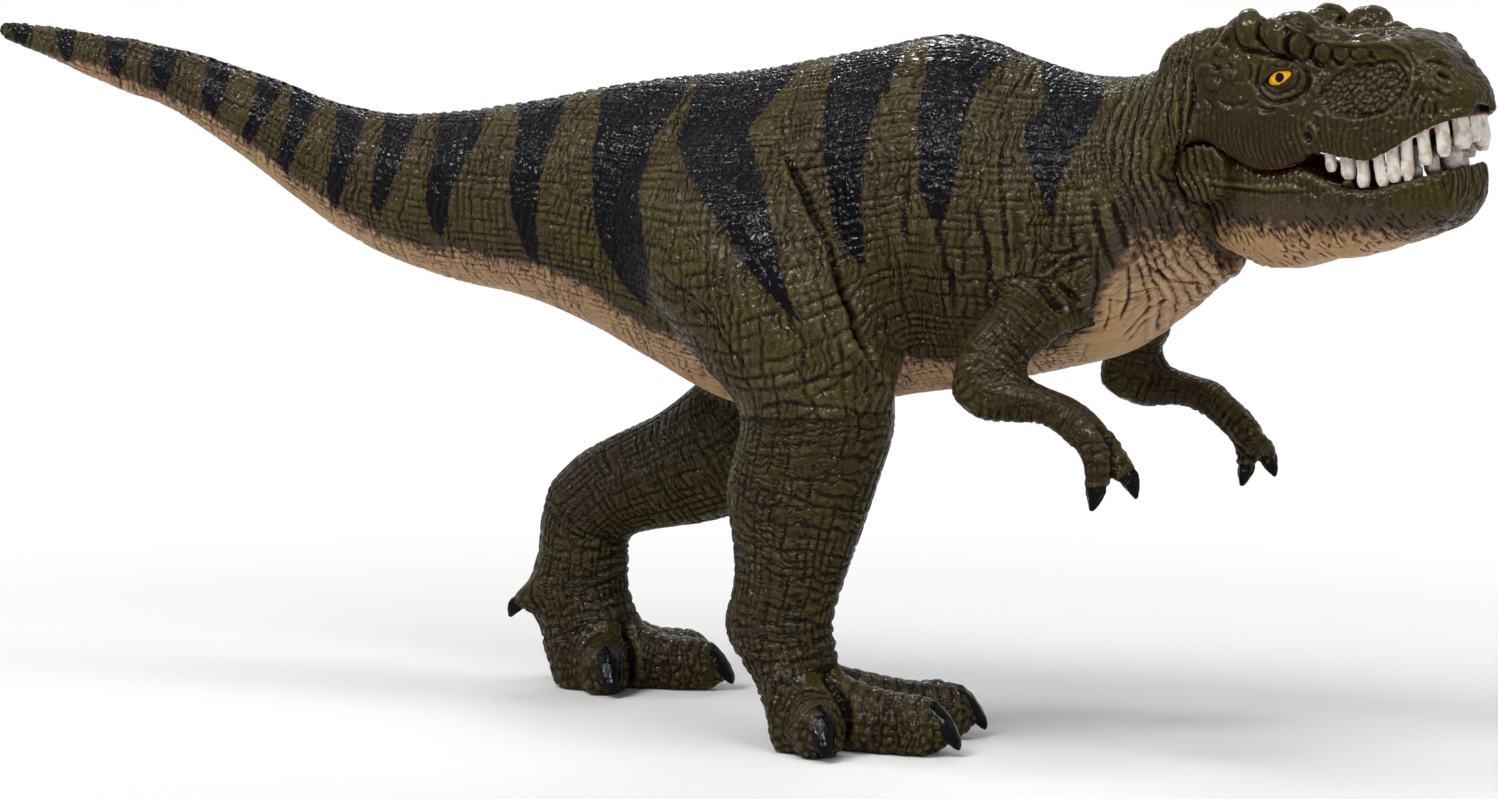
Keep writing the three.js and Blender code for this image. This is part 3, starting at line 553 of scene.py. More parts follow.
class Places:
    """Where each point of a skin lies along the body, in the head and in the photograph."""

    def __init__(self, points, normals):
        self.points = points
        self.source = points - SHIFT
        self.normals = normals
        x = self.source[:, 0]
        middle, half_height, self.half_width = [
            np.interp(x, BODY_ROWS[:, 0], BODY_ROWS[:, column]) for column in (1, 2, 3)]
        self.side = self.source[:, 1] - np.interp(x, NECK_SHIFT[:, 0], NECK_SHIFT[:, 1])
        self.rise = self.source[:, 2] - middle
        slope = np.interp(x + SLOPE_REACH, BODY_ROWS[:, 0], BODY_ROWS[:, 1])
        slope -= np.interp(x - SLOPE_REACH, BODY_ROWS[:, 0], BODY_ROWS[:, 1])
        slope = np.clip(slope / (2 * SLOPE_REACH), -STEEPEST, STEEPEST)
        self.flow = np.stack([x + slope * self.rise, self.side, self.rise], 1)
        oval = np.hypot(self.side / self.half_width, self.rise / half_height)
        self.beyond_body = (oval - 1) * self.half_width
        turn = np.arctan2(self.rise / half_height, np.abs(self.side) / self.half_width)
        self.girth = turn * (half_height + self.half_width) / 2
        self.head = to_head(points)
        in_head = ease(self.head[:, 0], *HEAD_FORWARD) * ease(self.head[:, 2], *HEAD_UPWARD)
        self.in_head = in_head
        self.wander = np.stack([noise(points / WANDER_SIZE, seed) for seed in (21, 22)], 1) * WANDER
        self.slow = noise(points / UNEVEN_SIZE, 23)
        body_pixels, body_facing = self.mirrored_body()
        head_pixels, head_facing = self.mirrored_head()
        self.pixels = body_pixels * (1 - in_head)[:, None] + head_pixels * in_head[:, None]
        self.facing = body_facing * (1 - in_head) + head_facing * in_head

    def mirrored_body(self):
        """Both sides of the body are read from the photograph's near side."""
        near = self.points.copy()
        near[:, 1] -= np.maximum(0, self.side) * 2
        turned = self.normals.copy()
        turned[:, 1] *= np.where(self.side > 0, -1, 1)
        return in_photo(near), turned @ camera_back

    def mirrored_head(self):
        near = self.head.copy()
        far = near[:, 1] > 0
        near[far, 1] *= -1
        turned = self.normals @ head_axes
        turned[far, 1] *= -1
        return in_photo(from_head(near)), (turned @ head_axes.T) @ camera_back

    def facing_mask(self):
        return ease(self.facing, FACING_FROM, FACING_BY)


def crease(places, depth, width, line, step=0.0):
    """A groove along a line of the photograph's pixels, with swollen banks; a negative depth is a ridge.

    With a step, the skin on the line's left as it runs down the picture stands proud of the other side.
    """
    line = np.array(line, float)
    reach = STEP_REACH + STEP_SPREAD * abs(step)
    margin = max(width * BANK_REACH, reach * (step != 0) * 3)
    inside = (places.pixels > line.min(0) - margin) & (places.pixels < line.max(0) + margin)
    near = np.nonzero(inside.all(1) & (places.facing > FACING_FROM))[0]
    spots = places.pixels[near] + places.wander[near] * min(1, width / 2)
    away, along, length = to_line(spots, line)
    ends = ease(np.minimum(along, length - along), -0.5 * width, min(0.3 * length, 8 * width))
    away = away / width / (0.55 + 0.45 * ends)
    uneven = 0.8 + 0.5 * places.slow[near]
    heights = -depth * (bell(away, 1) - BANK_SHARE * bell(np.abs(away) - 2.1, 0.8)) * ends * uneven
    if step:
        best = np.full(len(spots), 1e9)
        left = np.zeros(len(spots))
        for start, end in zip(line[:-1], line[1:]):
            offset = to_line(spots, [start, end])[0]
            run = end - start
            turn = run[0] * (spots[:, 1] - start[1]) - run[1] * (spots[:, 0] - start[0])
            left = np.where(offset < best, np.sign(turn), left)
            best = np.minimum(best, offset)
        lift = ease(best, 0, 1.5 * width) * np.exp(-best / reach)
        heights += step * left * lift * ease(np.minimum(along, length - along), 0, reach)
    return near, heights * places.facing_mask()[near]


def creases(places, rows):
    heights = np.zeros(len(places.points))
    for row in rows:
        near, more = crease(places, *row)
        heights[near] += more
    return heights


def domes(places, rows):
    """Smooth bosses at ovals of the photograph's pixels: height, middle, half sizes and lean in degrees."""
    heights = np.zeros(len(places.points))
    for height, middle, size, lean in rows:
        offset = places.pixels - middle
        turn = math.radians(lean)
        across = (offset[:, 0] * math.cos(turn) + offset[:, 1] * math.sin(turn)) / size[0]
        down = (offset[:, 1] * math.cos(turn) - offset[:, 0] * math.sin(turn)) / size[1]
        oval = np.hypot(across, down)
        heights = np.maximum(heights, height * np.sqrt(np.clip(1 - oval ** 2, 0, 1)))
    return heights * places.facing_mask()


# Folds read from the photograph: depth in millimetres, half width and line in its pixels, and the height
# in millimetres of a step beside some. A negative depth is a ridge.
BODY_FOLDS = [
    (2.8, 4.6, [(784, 150), (796, 176), (808, 206), (828, 250), (846, 300), (860, 338), (882, 374)], 2.4),
    (2.0, 9.0, [(826, 250), (844, 296), (856, 332), (872, 362)]),
    (0.7, 11.0, [(706, 190), (738, 250), (772, 310), (800, 350)]),
    (-0.7, 12.0, [(752, 170), (784, 240), (812, 310), (830, 360)]),
    (0.5, 8.0, [(650, 270), (690, 310), (730, 350)]),
    (0.5, 6.0, [(905, 170), (903, 220), (909, 270)]),
    (0.5, 6.0, [(938, 200), (943, 262), (958, 320)]),
    (0.6, 6.0, [(975, 190), (984, 249), (990, 320)]),
    (0.5, 6.0, [(1020, 180), (1018, 240), (1016, 290)]),
    (0.51, 2, [(773, 134), (784, 155), (797, 178)]),
    (0.42, 2, [(828, 134), (812, 156), (797, 178)]),
    (0.42, 2, [(749, 239), (766, 272), (784, 305), (802, 341)]),
    (0.38, 2, [(649, 264), (668, 282), (693, 297), (715, 318), (733, 343)]),
    (0.38, 2, [(899, 182), (903, 220), (909, 259)]),
    (0.47, 2.1, [(935, 223), (943, 262), (958, 300)]),
    (0.59, 2.3, [(979, 218), (986, 249), (991, 284), (995, 306)]),
    (0.59, 2.3, [(1003, 139), (1001, 180), (1005, 232), (1008, 266), (1012, 290)]),
    (-0.42, 4, [(600, 135), (645, 122), (690, 110), (745, 98), (800, 90), (860, 84), (930, 80)]),
    (0.34, 2, [(960, 84), (1000, 90), (1042, 99)]),
    (0.34, 1.7, [(1042, 60), (1032, 74), (1027, 90)]),
    (0.42, 2, [(730, 200), (742, 232), (749, 262)]),
    (0.34, 2, [(690, 300), (722, 340), (748, 372)]),
    (0.34, 2, [(820, 290), (833, 330), (842, 366)]),
    (0.3, 2.1, [(751, 409), (790, 402), (840, 408), (884, 416)]),
    (0.34, 2, [(770, 388), (812, 380), (862, 372)]),
    (0.3, 2, [(860, 392), (880, 384), (893, 380)]),
]
NECK_FOLDS = [
    (1.0, 3.0, [(1088, 190), (1096, 216), (1102, 240), (1109, 262), (1114, 278)], 0.3),
    (1.0, 3.0, [(1108, 196), (1115, 214), (1122, 236), (1131, 257)], 0.3),
    (0.7, 1.8, [(1178, 68), (1178, 94), (1180, 117), (1179, 137)], 0.2),
    (0.6, 1.6, [(1192, 62), (1191, 103), (1186, 132), (1182, 153)], 0.2),
    (0.5, 1.4, [(1168, 112), (1169, 132), (1172, 157)]),
    (0.4, 1.0, [(1151, 168), (1163, 180), (1175, 183), (1196, 181)]),
    (0.6, 1.5, [(1104, 124), (1101, 144)]),
    (1.5, 3.2, [(1034, 283), (1048, 293), (1060, 305), (1068, 316)], -0.4),
    (1.3, 2.8, [(1057, 280), (1070, 292), (1082, 306)], -0.3),
    (-0.5, 3.0, [(1029, 286), (1060, 264), (1093, 242)]),
    (0.3, 1.3, [(1040, 281), (1066, 264), (1092, 254)]),
    (0.3, 1.3, [(1034, 275), (1058, 258), (1088, 240)]),
    (0.3, 1.3, [(1050, 280), (1072, 271), (1097, 262)]),
    (0.5, 1.8, [(1012, 300), (1030, 322), (1052, 342)]),
    (0.5, 1.8, [(1172, 297), (1150, 308), (1136, 325), (1118, 340)]),
    (0.4, 1.4, [(1160, 312), (1142, 326), (1124, 346)]),
    (0.5, 1.6, [(1126, 262), (1130, 280), (1127, 302), (1118, 326)]),
    (0.4, 1.4, [(1112, 290), (1110, 312), (1102, 336)]),
    (0.4, 1.4, [(1149, 273), (1160, 271), (1174, 288)]),
    (0.5, 1.8, [(1105, 225), (1098, 250), (1097, 285), (1090, 310)]),
]
# The flowing folds of the neck: rows of the photograph, and where four of them cross each row
NECK_ROWS = [40, 80, 110, 140, 170, 200, 230, 260, 300]
NECK_LINES = [
    [1138, 1126, 1112, 1103, 1104, 1113, 1124, 1136, 1146],
    [1166, 1151, 1137, 1128, 1127, 1136, 1147, 1160, 1184],
    [1180, 1168, 1160, 1153, 1152, 1160, 1174, 1196, 1226],
    [1200, 1194, 1190, 1186, 1185, 1196, 1214, 1240, 1272],
]
FOLDS_BETWEEN_LINES = 2.6
# The neck's folds fade in and out over these pixels at its first and last line
NECK_FADE_IN = (-6, 3)
NECK_FADE_OUT = (-4, 6)
THROAT_SLITS = [(0.4, 1.4, line) for line in (
    [(1214, 216), (1221, 226)],
    [(1205, 236), (1213, 248)],
    [(1190, 228), (1200, 238), (1203, 250)],
    [(1180, 250), (1188, 262)],
    [(1196, 262), (1203, 272)],
    [(1224, 240), (1229, 252)],
    [(1170, 262), (1176, 276)],
    [(1184, 282), (1198, 284)],
    [(1216, 258), (1222, 268)],
)]
HEAD_FOLDS = [
    (0.85, 2.3, [(1264, 17), (1260, 27), (1261, 38), (1267, 47), (1274, 54)]),
    (0.85, 2.2, [(1294, 33), (1287, 38), (1286, 46), (1290, 54), (1302, 64)]),
    (0.85, 2.2, [(1316, 44), (1312, 49), (1312, 57), (1318, 64), (1325, 67)]),
    (0.64, 2.0, [(1331, 49), (1332, 57), (1339, 63), (1347, 64)]),
    (0.64, 1.8, [(1350, 49), (1351, 56), (1359, 61)]),
    (0.43, 1.8, [(1372, 48), (1371, 55), (1377, 60)]),
    (0.74, 2.5, [(1233, 27), (1236, 40), (1244, 49), (1262, 53), (1277, 54), (1292, 60)]),
    (0.64, 2.1, [(1266, 57), (1278, 54), (1296, 61), (1307, 72), (1309, 83), (1302, 95), (1290, 101),
                 (1272, 102), (1261, 95), (1256, 83), (1258, 69), (1266, 57)]),
    (0.33, 1.5, [(1263, 74), (1272, 66), (1287, 64), (1296, 70), (1299, 80), (1293, 90), (1278, 95),
                 (1266, 90), (1261, 83), (1263, 74)]),
    (0.43, 1.5, [(1296, 104), (1304, 97), (1310, 85)]),
    (0.53, 2.8, [(1257, 105), (1266, 110), (1279, 108)]),
    (0.64, 2.2, [(1209, 62), (1212, 68), (1220, 68)]),
    (-0.53, 2.5, [(1235, 20), (1225, 35), (1216, 47), (1208, 60)]),
    (0.43, 1.8, [(1228, 20), (1214, 38), (1202, 56)]),
    (0.43, 1.8, [(1218, 24), (1204, 44), (1196, 60)]),
    (-0.43, 2.3, [(1212, 62), (1202, 66), (1195, 74), (1193, 90)]),
    (0.53, 2.1, [(1193, 74), (1194, 90), (1192, 108), (1186, 130)]),
    (-0.53, 2.1, [(1266, 18), (1278, 20), (1293, 28), (1309, 37), (1318, 42), (1333, 43), (1371, 43),
                  (1394, 46), (1407, 53), (1414, 66), (1412, 84), (1405, 97)]),
    (0.53, 2.0, [(1346, 64), (1362, 65), (1378, 61), (1396, 63), (1404, 72), (1406, 84), (1402, 95)]),
    (0.43, 2.0, [(1394, 104), (1380, 112), (1363, 116), (1344, 112), (1332, 105)]),
    (0.53, 2.0, [(1421, 66), (1430, 59), (1441, 61), (1451, 67), (1459, 81)]),
    (0.96, 2.5, [(1437, 72), (1445, 76), (1453, 79)]),
    (-0.43, 2.3, [(1427, 77), (1435, 84), (1446, 91), (1457, 91)]),
    (0.43, 1.8, [(1432, 88), (1444, 96), (1455, 98)]),
    (0.96, 2.8, [(1306, 131), (1309, 138), (1310, 144)]),
    (-0.43, 2.0, [(1302, 128), (1310, 124), (1316, 130), (1317, 140)]),
    (0.43, 1.7, [(1419, 92), (1413, 104), (1409, 118)]),
    (0.43, 1.7, [(1427, 96), (1424, 108), (1421, 120)]),
    (0.33, 1.7, [(1436, 100), (1437, 110), (1434, 122)]),
    (0.43, 2.0, [(1214, 100), (1226, 104), (1240, 104), (1252, 100)]),
    (0.33, 1.8, [(1246, 60), (1250, 72), (1249, 86)]),
    (0.33, 1.7, [(1226, 60), (1232, 70), (1231, 82)]),
    (0.33, 1.7, [(1204, 96), (1212, 108), (1211, 122)]),
]

# Brow bosses, read the same way: height in millimetres, middle, half sizes and lean in degrees
BROW_DOMES = [
    (1.35, (1251, 30), (14, 21), -12),
    (1.35, (1277, 37), (12, 19), -18),
    (1.2, (1300, 47), (12, 14), -24),
    (0.54, (1322, 53), (9, 9), 0),
    (0.45, (1341, 54), (8, 7), 0),
    (0.36, (1360, 54), (9, 6), 0),
    (0.45, (1212, 84), (9, 7), 20),
    (0.36, (1229, 74), (8, 7), 10),
    (0.36, (1222, 50), (8, 7), 30),
    (0.36, (1316, 86), (5, 12), 0),
    (0.36, (1431, 84), (7, 6), 0),
]

# Stripes as outlines in the photograph's pixels, which the far side repeats
STRIPES = [
    [(-6, 10), (38, 16), (32, 32), (25, 46), (16, 40), (9, 26), (-6, 24)],
    [(56, 22), (79, 24), (74, 44), (71, 61), (64, 61), (58, 44)],
    [(105, 28), (133, 28), (126, 52), (119, 78), (110, 74), (107, 54)],
    [(151, 32), (187, 36), (177, 62), (165, 92), (154, 84), (149, 66), (154, 48)],
    [(205, 42), (238, 54), (226, 86), (215, 117), (204, 107), (202, 90), (208, 68)],
    [(257, 64), (288, 74), (273, 104), (261, 126), (248, 147), (242, 133), (250, 112), (258, 90)],
    [(291, 78), (321, 88), (309, 122), (298, 146), (287, 175), (277, 161), (282, 138), (290, 112)],
    [(338, 92), (373, 98), (361, 130), (348, 170), (341, 196), (336, 212), (328, 194), (326, 178), (333, 150),
     (337, 118)],
    [(384, 100), (424, 100), (412, 136), (398, 168), (387, 196), (380, 217), (370, 196), (372, 176),
     (378, 150), (385, 124)],
    [(442, 98), (490, 98), (478, 138), (459, 172), (449, 196), (444, 237), (433, 232), (425, 199), (428, 175),
     (437, 140)],
    [(520, 86), (574, 86), (552, 138), (541, 167), (536, 221), (540, 268), (524, 250), (511, 210), (509, 178),
     (517, 140)],
    [(602, 80), (692, 64), (684, 96), (653, 140), (638, 194), (647, 262), (646, 308), (622, 284), (602, 247),
     (593, 210), (592, 162), (600, 114)],
    [(708, 56), (806, 50), (790, 80), (748, 128), (760, 170), (769, 217), (779, 263), (788, 296), (800, 322),
     (782, 308), (764, 288), (739, 255), (713, 214), (690, 176), (676, 142), (690, 104)],
    [(838, 36), (912, 24), (900, 60), (877, 103), (869, 127), (861, 170), (860, 207), (866, 268), (850, 253),
     (838, 230), (831, 213), (826, 170), (822, 127), (826, 96)],
    [(930, 22), (1026, 40), (1004, 62), (988, 72), (968, 111), (962, 132), (957, 170), (944, 222), (930, 216),
     (920, 191), (918, 143), (917, 108), (926, 74)],
    [(1044, 50), (1108, 66), (1101, 103), (1091, 129), (1077, 146), (1063, 172), (1056, 189), (1054, 218),
     (1047, 215), (1041, 194), (1032, 170), (1025, 143), (1025, 123), (1041, 110), (1046, 98), (1042, 77)],
]
# Where the green of the flanks gives way to the tan of the belly, read the same way
BELLY_LINE = [
    (10, 48), (60, 56), (100, 66), (134, 82), (212, 116), (300, 181), (380, 234), (420, 246), (460, 249),
    (500, 258), (541, 265), (581, 283), (650, 330), (760, 352), (876, 354), (917, 358), (960, 361),
    (1020, 356), (1060, 346), (1088, 326), (1101, 305), (1106, 286), (1130, 250), (1156, 246), (1192, 236),
    (1240, 229), (1300, 240),
]
# How many pixels below that line the tan takes over, from left to right
GREY_BAND = [(0, 15), (400, 27), (860, 18), (1000, 22), (1070, 30), (1120, 60), (1200, 50), (1300, 46)]

# Forms and wrinkles


def narrow(phase, spacing, width):
    """1 in a groove wherever the phase is a whole number, for grooves a width wide, spacing apart."""
    return bell((phase - np.round(phase)) * spacing, width)


def lattice(flow, girth, spacing, stretch, width, seed):
    """Grooves that cross each other, along a limb and round it, each broken into strokes."""
    bend = 0.55 * noise(flow / (4.5 * spacing), seed) + 0.22 * noise(flow / (1.4 * spacing), seed + 1)
    total = np.zeros(len(flow))
    for number, (across, along) in enumerate(((flow[:, 0], girth), (girth, flow[:, 0]))):
        phase = across / spacing / (1 - 0.25 * number) + bend * (1.6 - number)
        stroke = np.stack([np.round(phase) * 3.7, along / stretch, flow[:, 1] / 40], 1)
        present = ease(noise(stroke, seed + 2 + number), -0.35, 0.25)
        total = np.maximum(total, narrow(phase, spacing, width) * present)
    return total


def neck_folds(places):
    """Rounded folds that flow down the neck, between lines read from the photograph."""
    pixels = places.pixels
    crossings = np.stack([np.interp(pixels[:, 1], NECK_ROWS, line) for line in NECK_LINES])
    phase = np.zeros(len(pixels))
    for number in range(len(NECK_LINES) - 1):
        reach = crossings[number + 1] - crossings[number]
        phase += np.clip((pixels[:, 0] - crossings[number]) / reach, 0, 1)
    phase *= FOLDS_BETWEEN_LINES
    phase += 0.5 * noise(places.flow / 7, 51)
    phase += 0.2 * noise(places.flow / 2.2, 52)
    inside = ease(pixels[:, 0] - crossings[0], *NECK_FADE_IN)
    inside *= ease(crossings[-1] - pixels[:, 0], *NECK_FADE_OUT)
    strength = 0.6 + 0.4 * noise(places.flow / 6, 53)
    off = np.abs(phase - np.round(phase)) * 2
    return (np.sqrt(off) - 0.7) * inside * strength * places.facing_mask()


NOTCH_SPACING = 2.4
NOTCH_LEAN = 0.8
TAIL_END = (-165, -150)


def dorsal_notches(places):
    """Small oblique notches along the middle of the back and tail."""
    lean = places.flow[:, 0] - np.abs(places.side) * NOTCH_LEAN
    beat = 0.5 + 0.5 * np.cos(lean * 2 * math.pi / NOTCH_SPACING + noise(places.flow / 8, 61) * 2)
    on_top = bell(places.side / (0.16 * places.half_width + 0.9), 1) * (places.normals[:, 2] > 0.2)
    return beat ** 3 * on_top * (1 - places.in_head) * ease(places.source[:, 0], *TAIL_END)


# The eye in the head's frame: its middle, half sizes, and the opening between the lids
HEAD_EYE = np.array([16.3, -10.9, 13.0])
EYE_SIZE = np.array([3.4, 2.05, 2.85])
EYE_OPENING = (2.3, 0.92)
OPENING_BACK = 0.35
EYE_TILT = math.radians(12)
# The lids: how far over the ball they lie, how deep the opening is let in, how thick their rims are, and
# between which places along the head they are looked for
LID_COVER = 0.22
LID_RECESS = 0.5
LID_ROLL = 0.3
LIDS_FROM = 10
LIDS_TO = 25
# The pebbled pit of the cheek, before the eye: forward and up
PIT_CENTRE = np.array([28.4, 9.6])
PIT_SIZE = np.array([7.0, 4.3])


def eye_frame(head):
    """Across and up from the middle of an eye's opening on either side, along and square to its tilt."""
    across = head[:, 0] - HEAD_EYE[0] + OPENING_BACK
    up = head[:, 2] - HEAD_EYE[2]
    turned = across * math.cos(EYE_TILT) + up * math.sin(EYE_TILT)
    square = up * math.cos(EYE_TILT) - across * math.sin(EYE_TILT)
    return turned, square


def almond(head):
    """1 on the edge of the opening between the lids, less inside it; pointed in front."""
    turned, square = eye_frame(head)
    pinch = 1 - 0.2 * ease(np.abs(turned), 0.3, EYE_OPENING[0])
    return np.hypot(turned / EYE_OPENING[0], square / (EYE_OPENING[1] * pinch))


def lidded(head):
    """Moves the skin by an eye so that it covers the eyeball, and opens over it in an almond."""
    side = np.sign(head[:, 1])
    off = (head - HEAD_EYE * [1, 0, 1])[:, [0, 2]] / EYE_SIZE[[0, 2]]
    inside = 1 - (off ** 2).sum(1)
    ball = -HEAD_EYE[1] + EYE_SIZE[1] * np.sqrt(np.clip(inside, 0, 1))
    near = (inside > -0.25) & (np.abs(head[:, 1]) > -HEAD_EYE[1] - 2.5)
    edge = almond(head)
    out = np.abs(head[:, 1])
    lid = ball + LID_COVER + LID_ROLL * bell(edge - 1.28, 0.2)
    cover = np.maximum(out, lid)
    opened = np.minimum(out, ball - LID_RECESS)
    share = ease(edge, 0.94, 1.06)
    moved = np.where(near, cover * share + opened * (1 - share), out)
    fade = ease(inside, -0.25, 0.0)
    out = out * (1 - fade) + moved * fade
    return np.stack([head[:, 0], out * side, head[:, 2]], 1)


def in_pit(head):
    pit = np.hypot((head[:, 0] - PIT_CENTRE[0]) / PIT_SIZE[0], (head[:, 2] - PIT_CENTRE[1]) / PIT_SIZE[1])
    return ease(pit, 1.02, 0.82) * ease(np.abs(head[:, 1]), 4, 6.5)


# Heights and depths of the skull's forms in millimetres
PIT_PEBBLES = 0.42
PIT_DEPTH = 0.6
CROWN_PEBBLES = 0.75
CROWN_DROP = 0.4
SNOUT_LUMPS = 0.5
SNOUT_DIMPLES = 0.18
SKULL_GRAIN = 0.05
LIP_WRINKLES = 0.12
LIP_RIM = 0.22
FINE_SIZE = 0.95


def head_forms(head, normals):
    """The forms of the skull that are not lines."""
    u, v, z = head.T
    side = np.abs(v)
    pit = in_pit(head)
    pit_pebbles = pebbles(head / FINE_SIZE + noise(head / 2, 71)[:, None] * 0.4, 31)
    heights = pit * (PIT_PEBBLES * pit_pebbles - PIT_DEPTH)
    on_top = ease(normals @ head_axes[:, 2], 0.35, 0.75) * ease(u, 5, 9) * ease(u, 33, 28)
    on_top *= ease(side, 6.6, 4.8) * ease(z, 11, 13)
    top_pebbles = pebbles(head / (2 * FINE_SIZE) + noise(head / 3, 75)[:, None] * 0.4, 32)
    heights += on_top * (CROWN_PEBBLES * top_pebbles - CROWN_DROP)
    snout = ease(u, 29, 34) * ease(z, 5, 9)
    heights += SNOUT_LUMPS * noise(head / 4.6, 33) * snout + SNOUT_DIMPLES * noise(head / 1.7, 37) * snout
    calm_skin = 1 - np.maximum(pit, on_top)
    heights += SKULL_GRAIN * (pebbles(head / FINE_SIZE, 34) - 0.5) * ease(u, -4, 4) * calm_skin
    above_lip = z - np.interp(u, UPPER_LIP[:, 0], UPPER_LIP[:, 2])
    wander = u * 2 * math.pi / FINE_SIZE + noise(head / 5, 35) * 7 + noise(head / 1.5, 38) * 1.2
    band = ease(above_lip, -0.4, 0.4) * ease(above_lip, 9.5, 4.5) * ease(u, -7, -2) * ease(u, 42, 38)
    wrinkles = np.sin(wander) * band * (0.55 + 0.45 * noise(head / 3, 36)) * ease(side, 4, 7)
    heights += LIP_WRINKLES * wrinkles * (1 - pit)
    rim = bell(above_lip - 0.5, 0.6) * ease(u, 16, 20) * ease(side, 2, 4)
    return heights + LIP_RIM * rim


# The lips in the head's frame: forward, half width and height; the skull's above and the jaw's below
UPPER_LIP = np.array([
    [-8, 13.4, 4.2], [-2, 13.8, 4.6], [5.2, 13.7, 2.6], [10.1, 13.3, -0.4], [15.1, 13.0, -0.6],
    [18.7, 12.7, 1.0], [22.1, 11.8, 0.9], [28.1, 10.8, -1.0], [34.1, 9.2, 1.4], [38.0, 7.7, 3.0],
    [40.8, 5.5, 3.8], [42.4, 3.3, 4.2],
])
LOWER_LIP = np.array([
    [7.0, 11.9, 0.7], [10.1, 12.3, -1.1], [13.8, 12.1, -1.1], [18.5, 11.6, -2.2], [23.1, 10.9, -4.5],
    [27.0, 10.3, -5.1], [32.2, 9.0, -4.5], [36.1, 7.5, -3.9], [38.5, 6.0, -3.3], [40.0, 3.6, -3.1],
])

# Limbs as centre lines in the source's frame


def toe_line(root_x, root_y, heading, reach):
    turn = math.radians(heading)
    run = np.array([math.cos(turn), math.sin(turn), 0])
    root = np.array([root_x, root_y, 5])
    return [root - run * 3, root + run * reach * 0.5, root + run * (reach + 5)]


RIGHT_SHAFT = [(10, -17, 82), (13.5, -18.4, 70), (22, -19.6, 55), (18.6, -20, 42), (16.5, -20, 26),
               (14.5, -20, 20), (18, -20.5, 9)]
LEFT_SHAFT = [(-2, 15, 84), (-1, 19, 64), (-4, 21.6, 51.5), (-13, 22, 45.7), (-25, 22.4, 41.4),
              (-36.3, 22.8, 37), (-43.7, 23, 31), (-45.5, 23, 19), (-42, 23, 9)]
RIGHT_TOES = [toe_line(22.1, -24, -54, 8.5), toe_line(22.5, -20, 2, 20), toe_line(22, -15, 37, 22.9)]
LEFT_TOES = [toe_line(-40, 28, 45, 15.7), toe_line(-39, 24, 10, 19), toe_line(-40, 19, -50, 8.5)]
# The arm from shoulder to wrist: forward and up as shares of its reach, and outward in millimetres
ARM_REACH = 28
ARM_SHAPE = np.array([[0.10, 0.10, -10.4], [0, -0.02, -2], [-0.12, -0.22, 3.2], [-0.22, -0.39, 5.2],
                      [-0.08, -0.48, 5.5], [0.16, -0.48, 5.2], [0.35, -0.58, 4.9], [0.49, -0.72, 4.7]])
SHAFT_RADIUS = 9
TOE_RADIUS = 4.8
ARM_RADIUS = 4.2


def arm_line(shoulder_x, side, lean):
    forward = ARM_SHAPE[:, 0] + lean * np.maximum(0, ARM_SHAPE[:, 0])
    shoulder = np.array([shoulder_x, 22 * side, 71.85])
    return shoulder + np.stack([forward * ARM_REACH, ARM_SHAPE[:, 2] * side, ARM_SHAPE[:, 1] * ARM_REACH], 1)


def finger_line(line, heading, side, root):
    turn = math.radians(heading)
    start = line[-1] + np.array(root) * [1, side, 1]
    return [start, start + np.array([math.cos(turn), 0, -math.sin(turn)]) * 8]


RIGHT_ARM = arm_line(58, -1, 0)
LEFT_ARM = arm_line(65, 1, 0.12)
# Fingers: where each starts from the wrist, forward, outward and up, and its slope downwards in degrees
FINGER_ROOTS = [((0.3, 1.3, -2), 88), ((1.7, -1.6, -1.1), 52)]
RIGHT_FINGERS = [finger_line(RIGHT_ARM, turn, -1, root) for root, turn in FINGER_ROOTS]
LEFT_FINGERS = [finger_line(LEFT_ARM, turn, 1, root) for root, turn in FINGER_ROOTS]


def limb_flow(source, lines, radii):
    """Where points lie along and across the nearest centre line, the girth round it, and its number.

    The last value is how much farther the second nearest of the toes or fingers is than the nearest.
    """
    flow = np.zeros_like(source)
    girth = np.zeros(len(source))
    best = np.full(len(source), 1e9)
    closest = np.full(len(source), 1e9)
    second = np.full(len(source), 1e9)
    which = np.zeros(len(source), int)
    for number, line in enumerate(lines):
        line = np.array(line, float)
        away, along, _ = to_line(source, line)
        reach = np.concatenate([[0], np.cumsum(np.linalg.norm(np.diff(line, axis=0), axis=1))])
        centre = np.stack([np.interp(along, reach, line[:, axis]) for axis in range(3)], 1)
        run = np.gradient(line, reach, axis=0)
        run = np.stack([np.interp(along, reach, run[:, axis]) for axis in range(3)], 1)
        run /= np.linalg.norm(run, axis=1)[:, None]
        offset = source - centre
        extra = (offset * run).sum(1)
        fore = (offset * np.cross(run, [0, 1, 0])).sum(1)
        nearer = away < best
        if number:
            second = np.minimum(second, np.maximum(away, closest))
            closest = np.minimum(closest, away)
        best = np.where(nearer, away, best)
        which[nearer] = number
        flow[nearer] = np.stack([along + extra, offset[:, 1], fore], 1)[nearer]
        girth[nearer] = (np.arctan2(fore, offset[:, 1]) * radii[number])[nearer]
    return flow, girth, which, second - closest


# Shaping the skin

point_labels = labels_on_points(len(skin.points), skin.faces, face_labels)


def share_of(*names):
    """1 on the pieces named and 0 elsewhere, with a soft edge."""
    wanted = [index for index, name in enumerate(SKIN_NODES) if name in names]
    return skin.calm(np.isin(point_labels, wanted).astype(float), 3)


on_body = share_of("torso", "tail", "head")
on_shoulders = share_of("right_arm", "left_arm")
places = Places(skin.points, skin.normals())
on_skull = places.in_head * ease(places.head[:, 0], -6, 2)
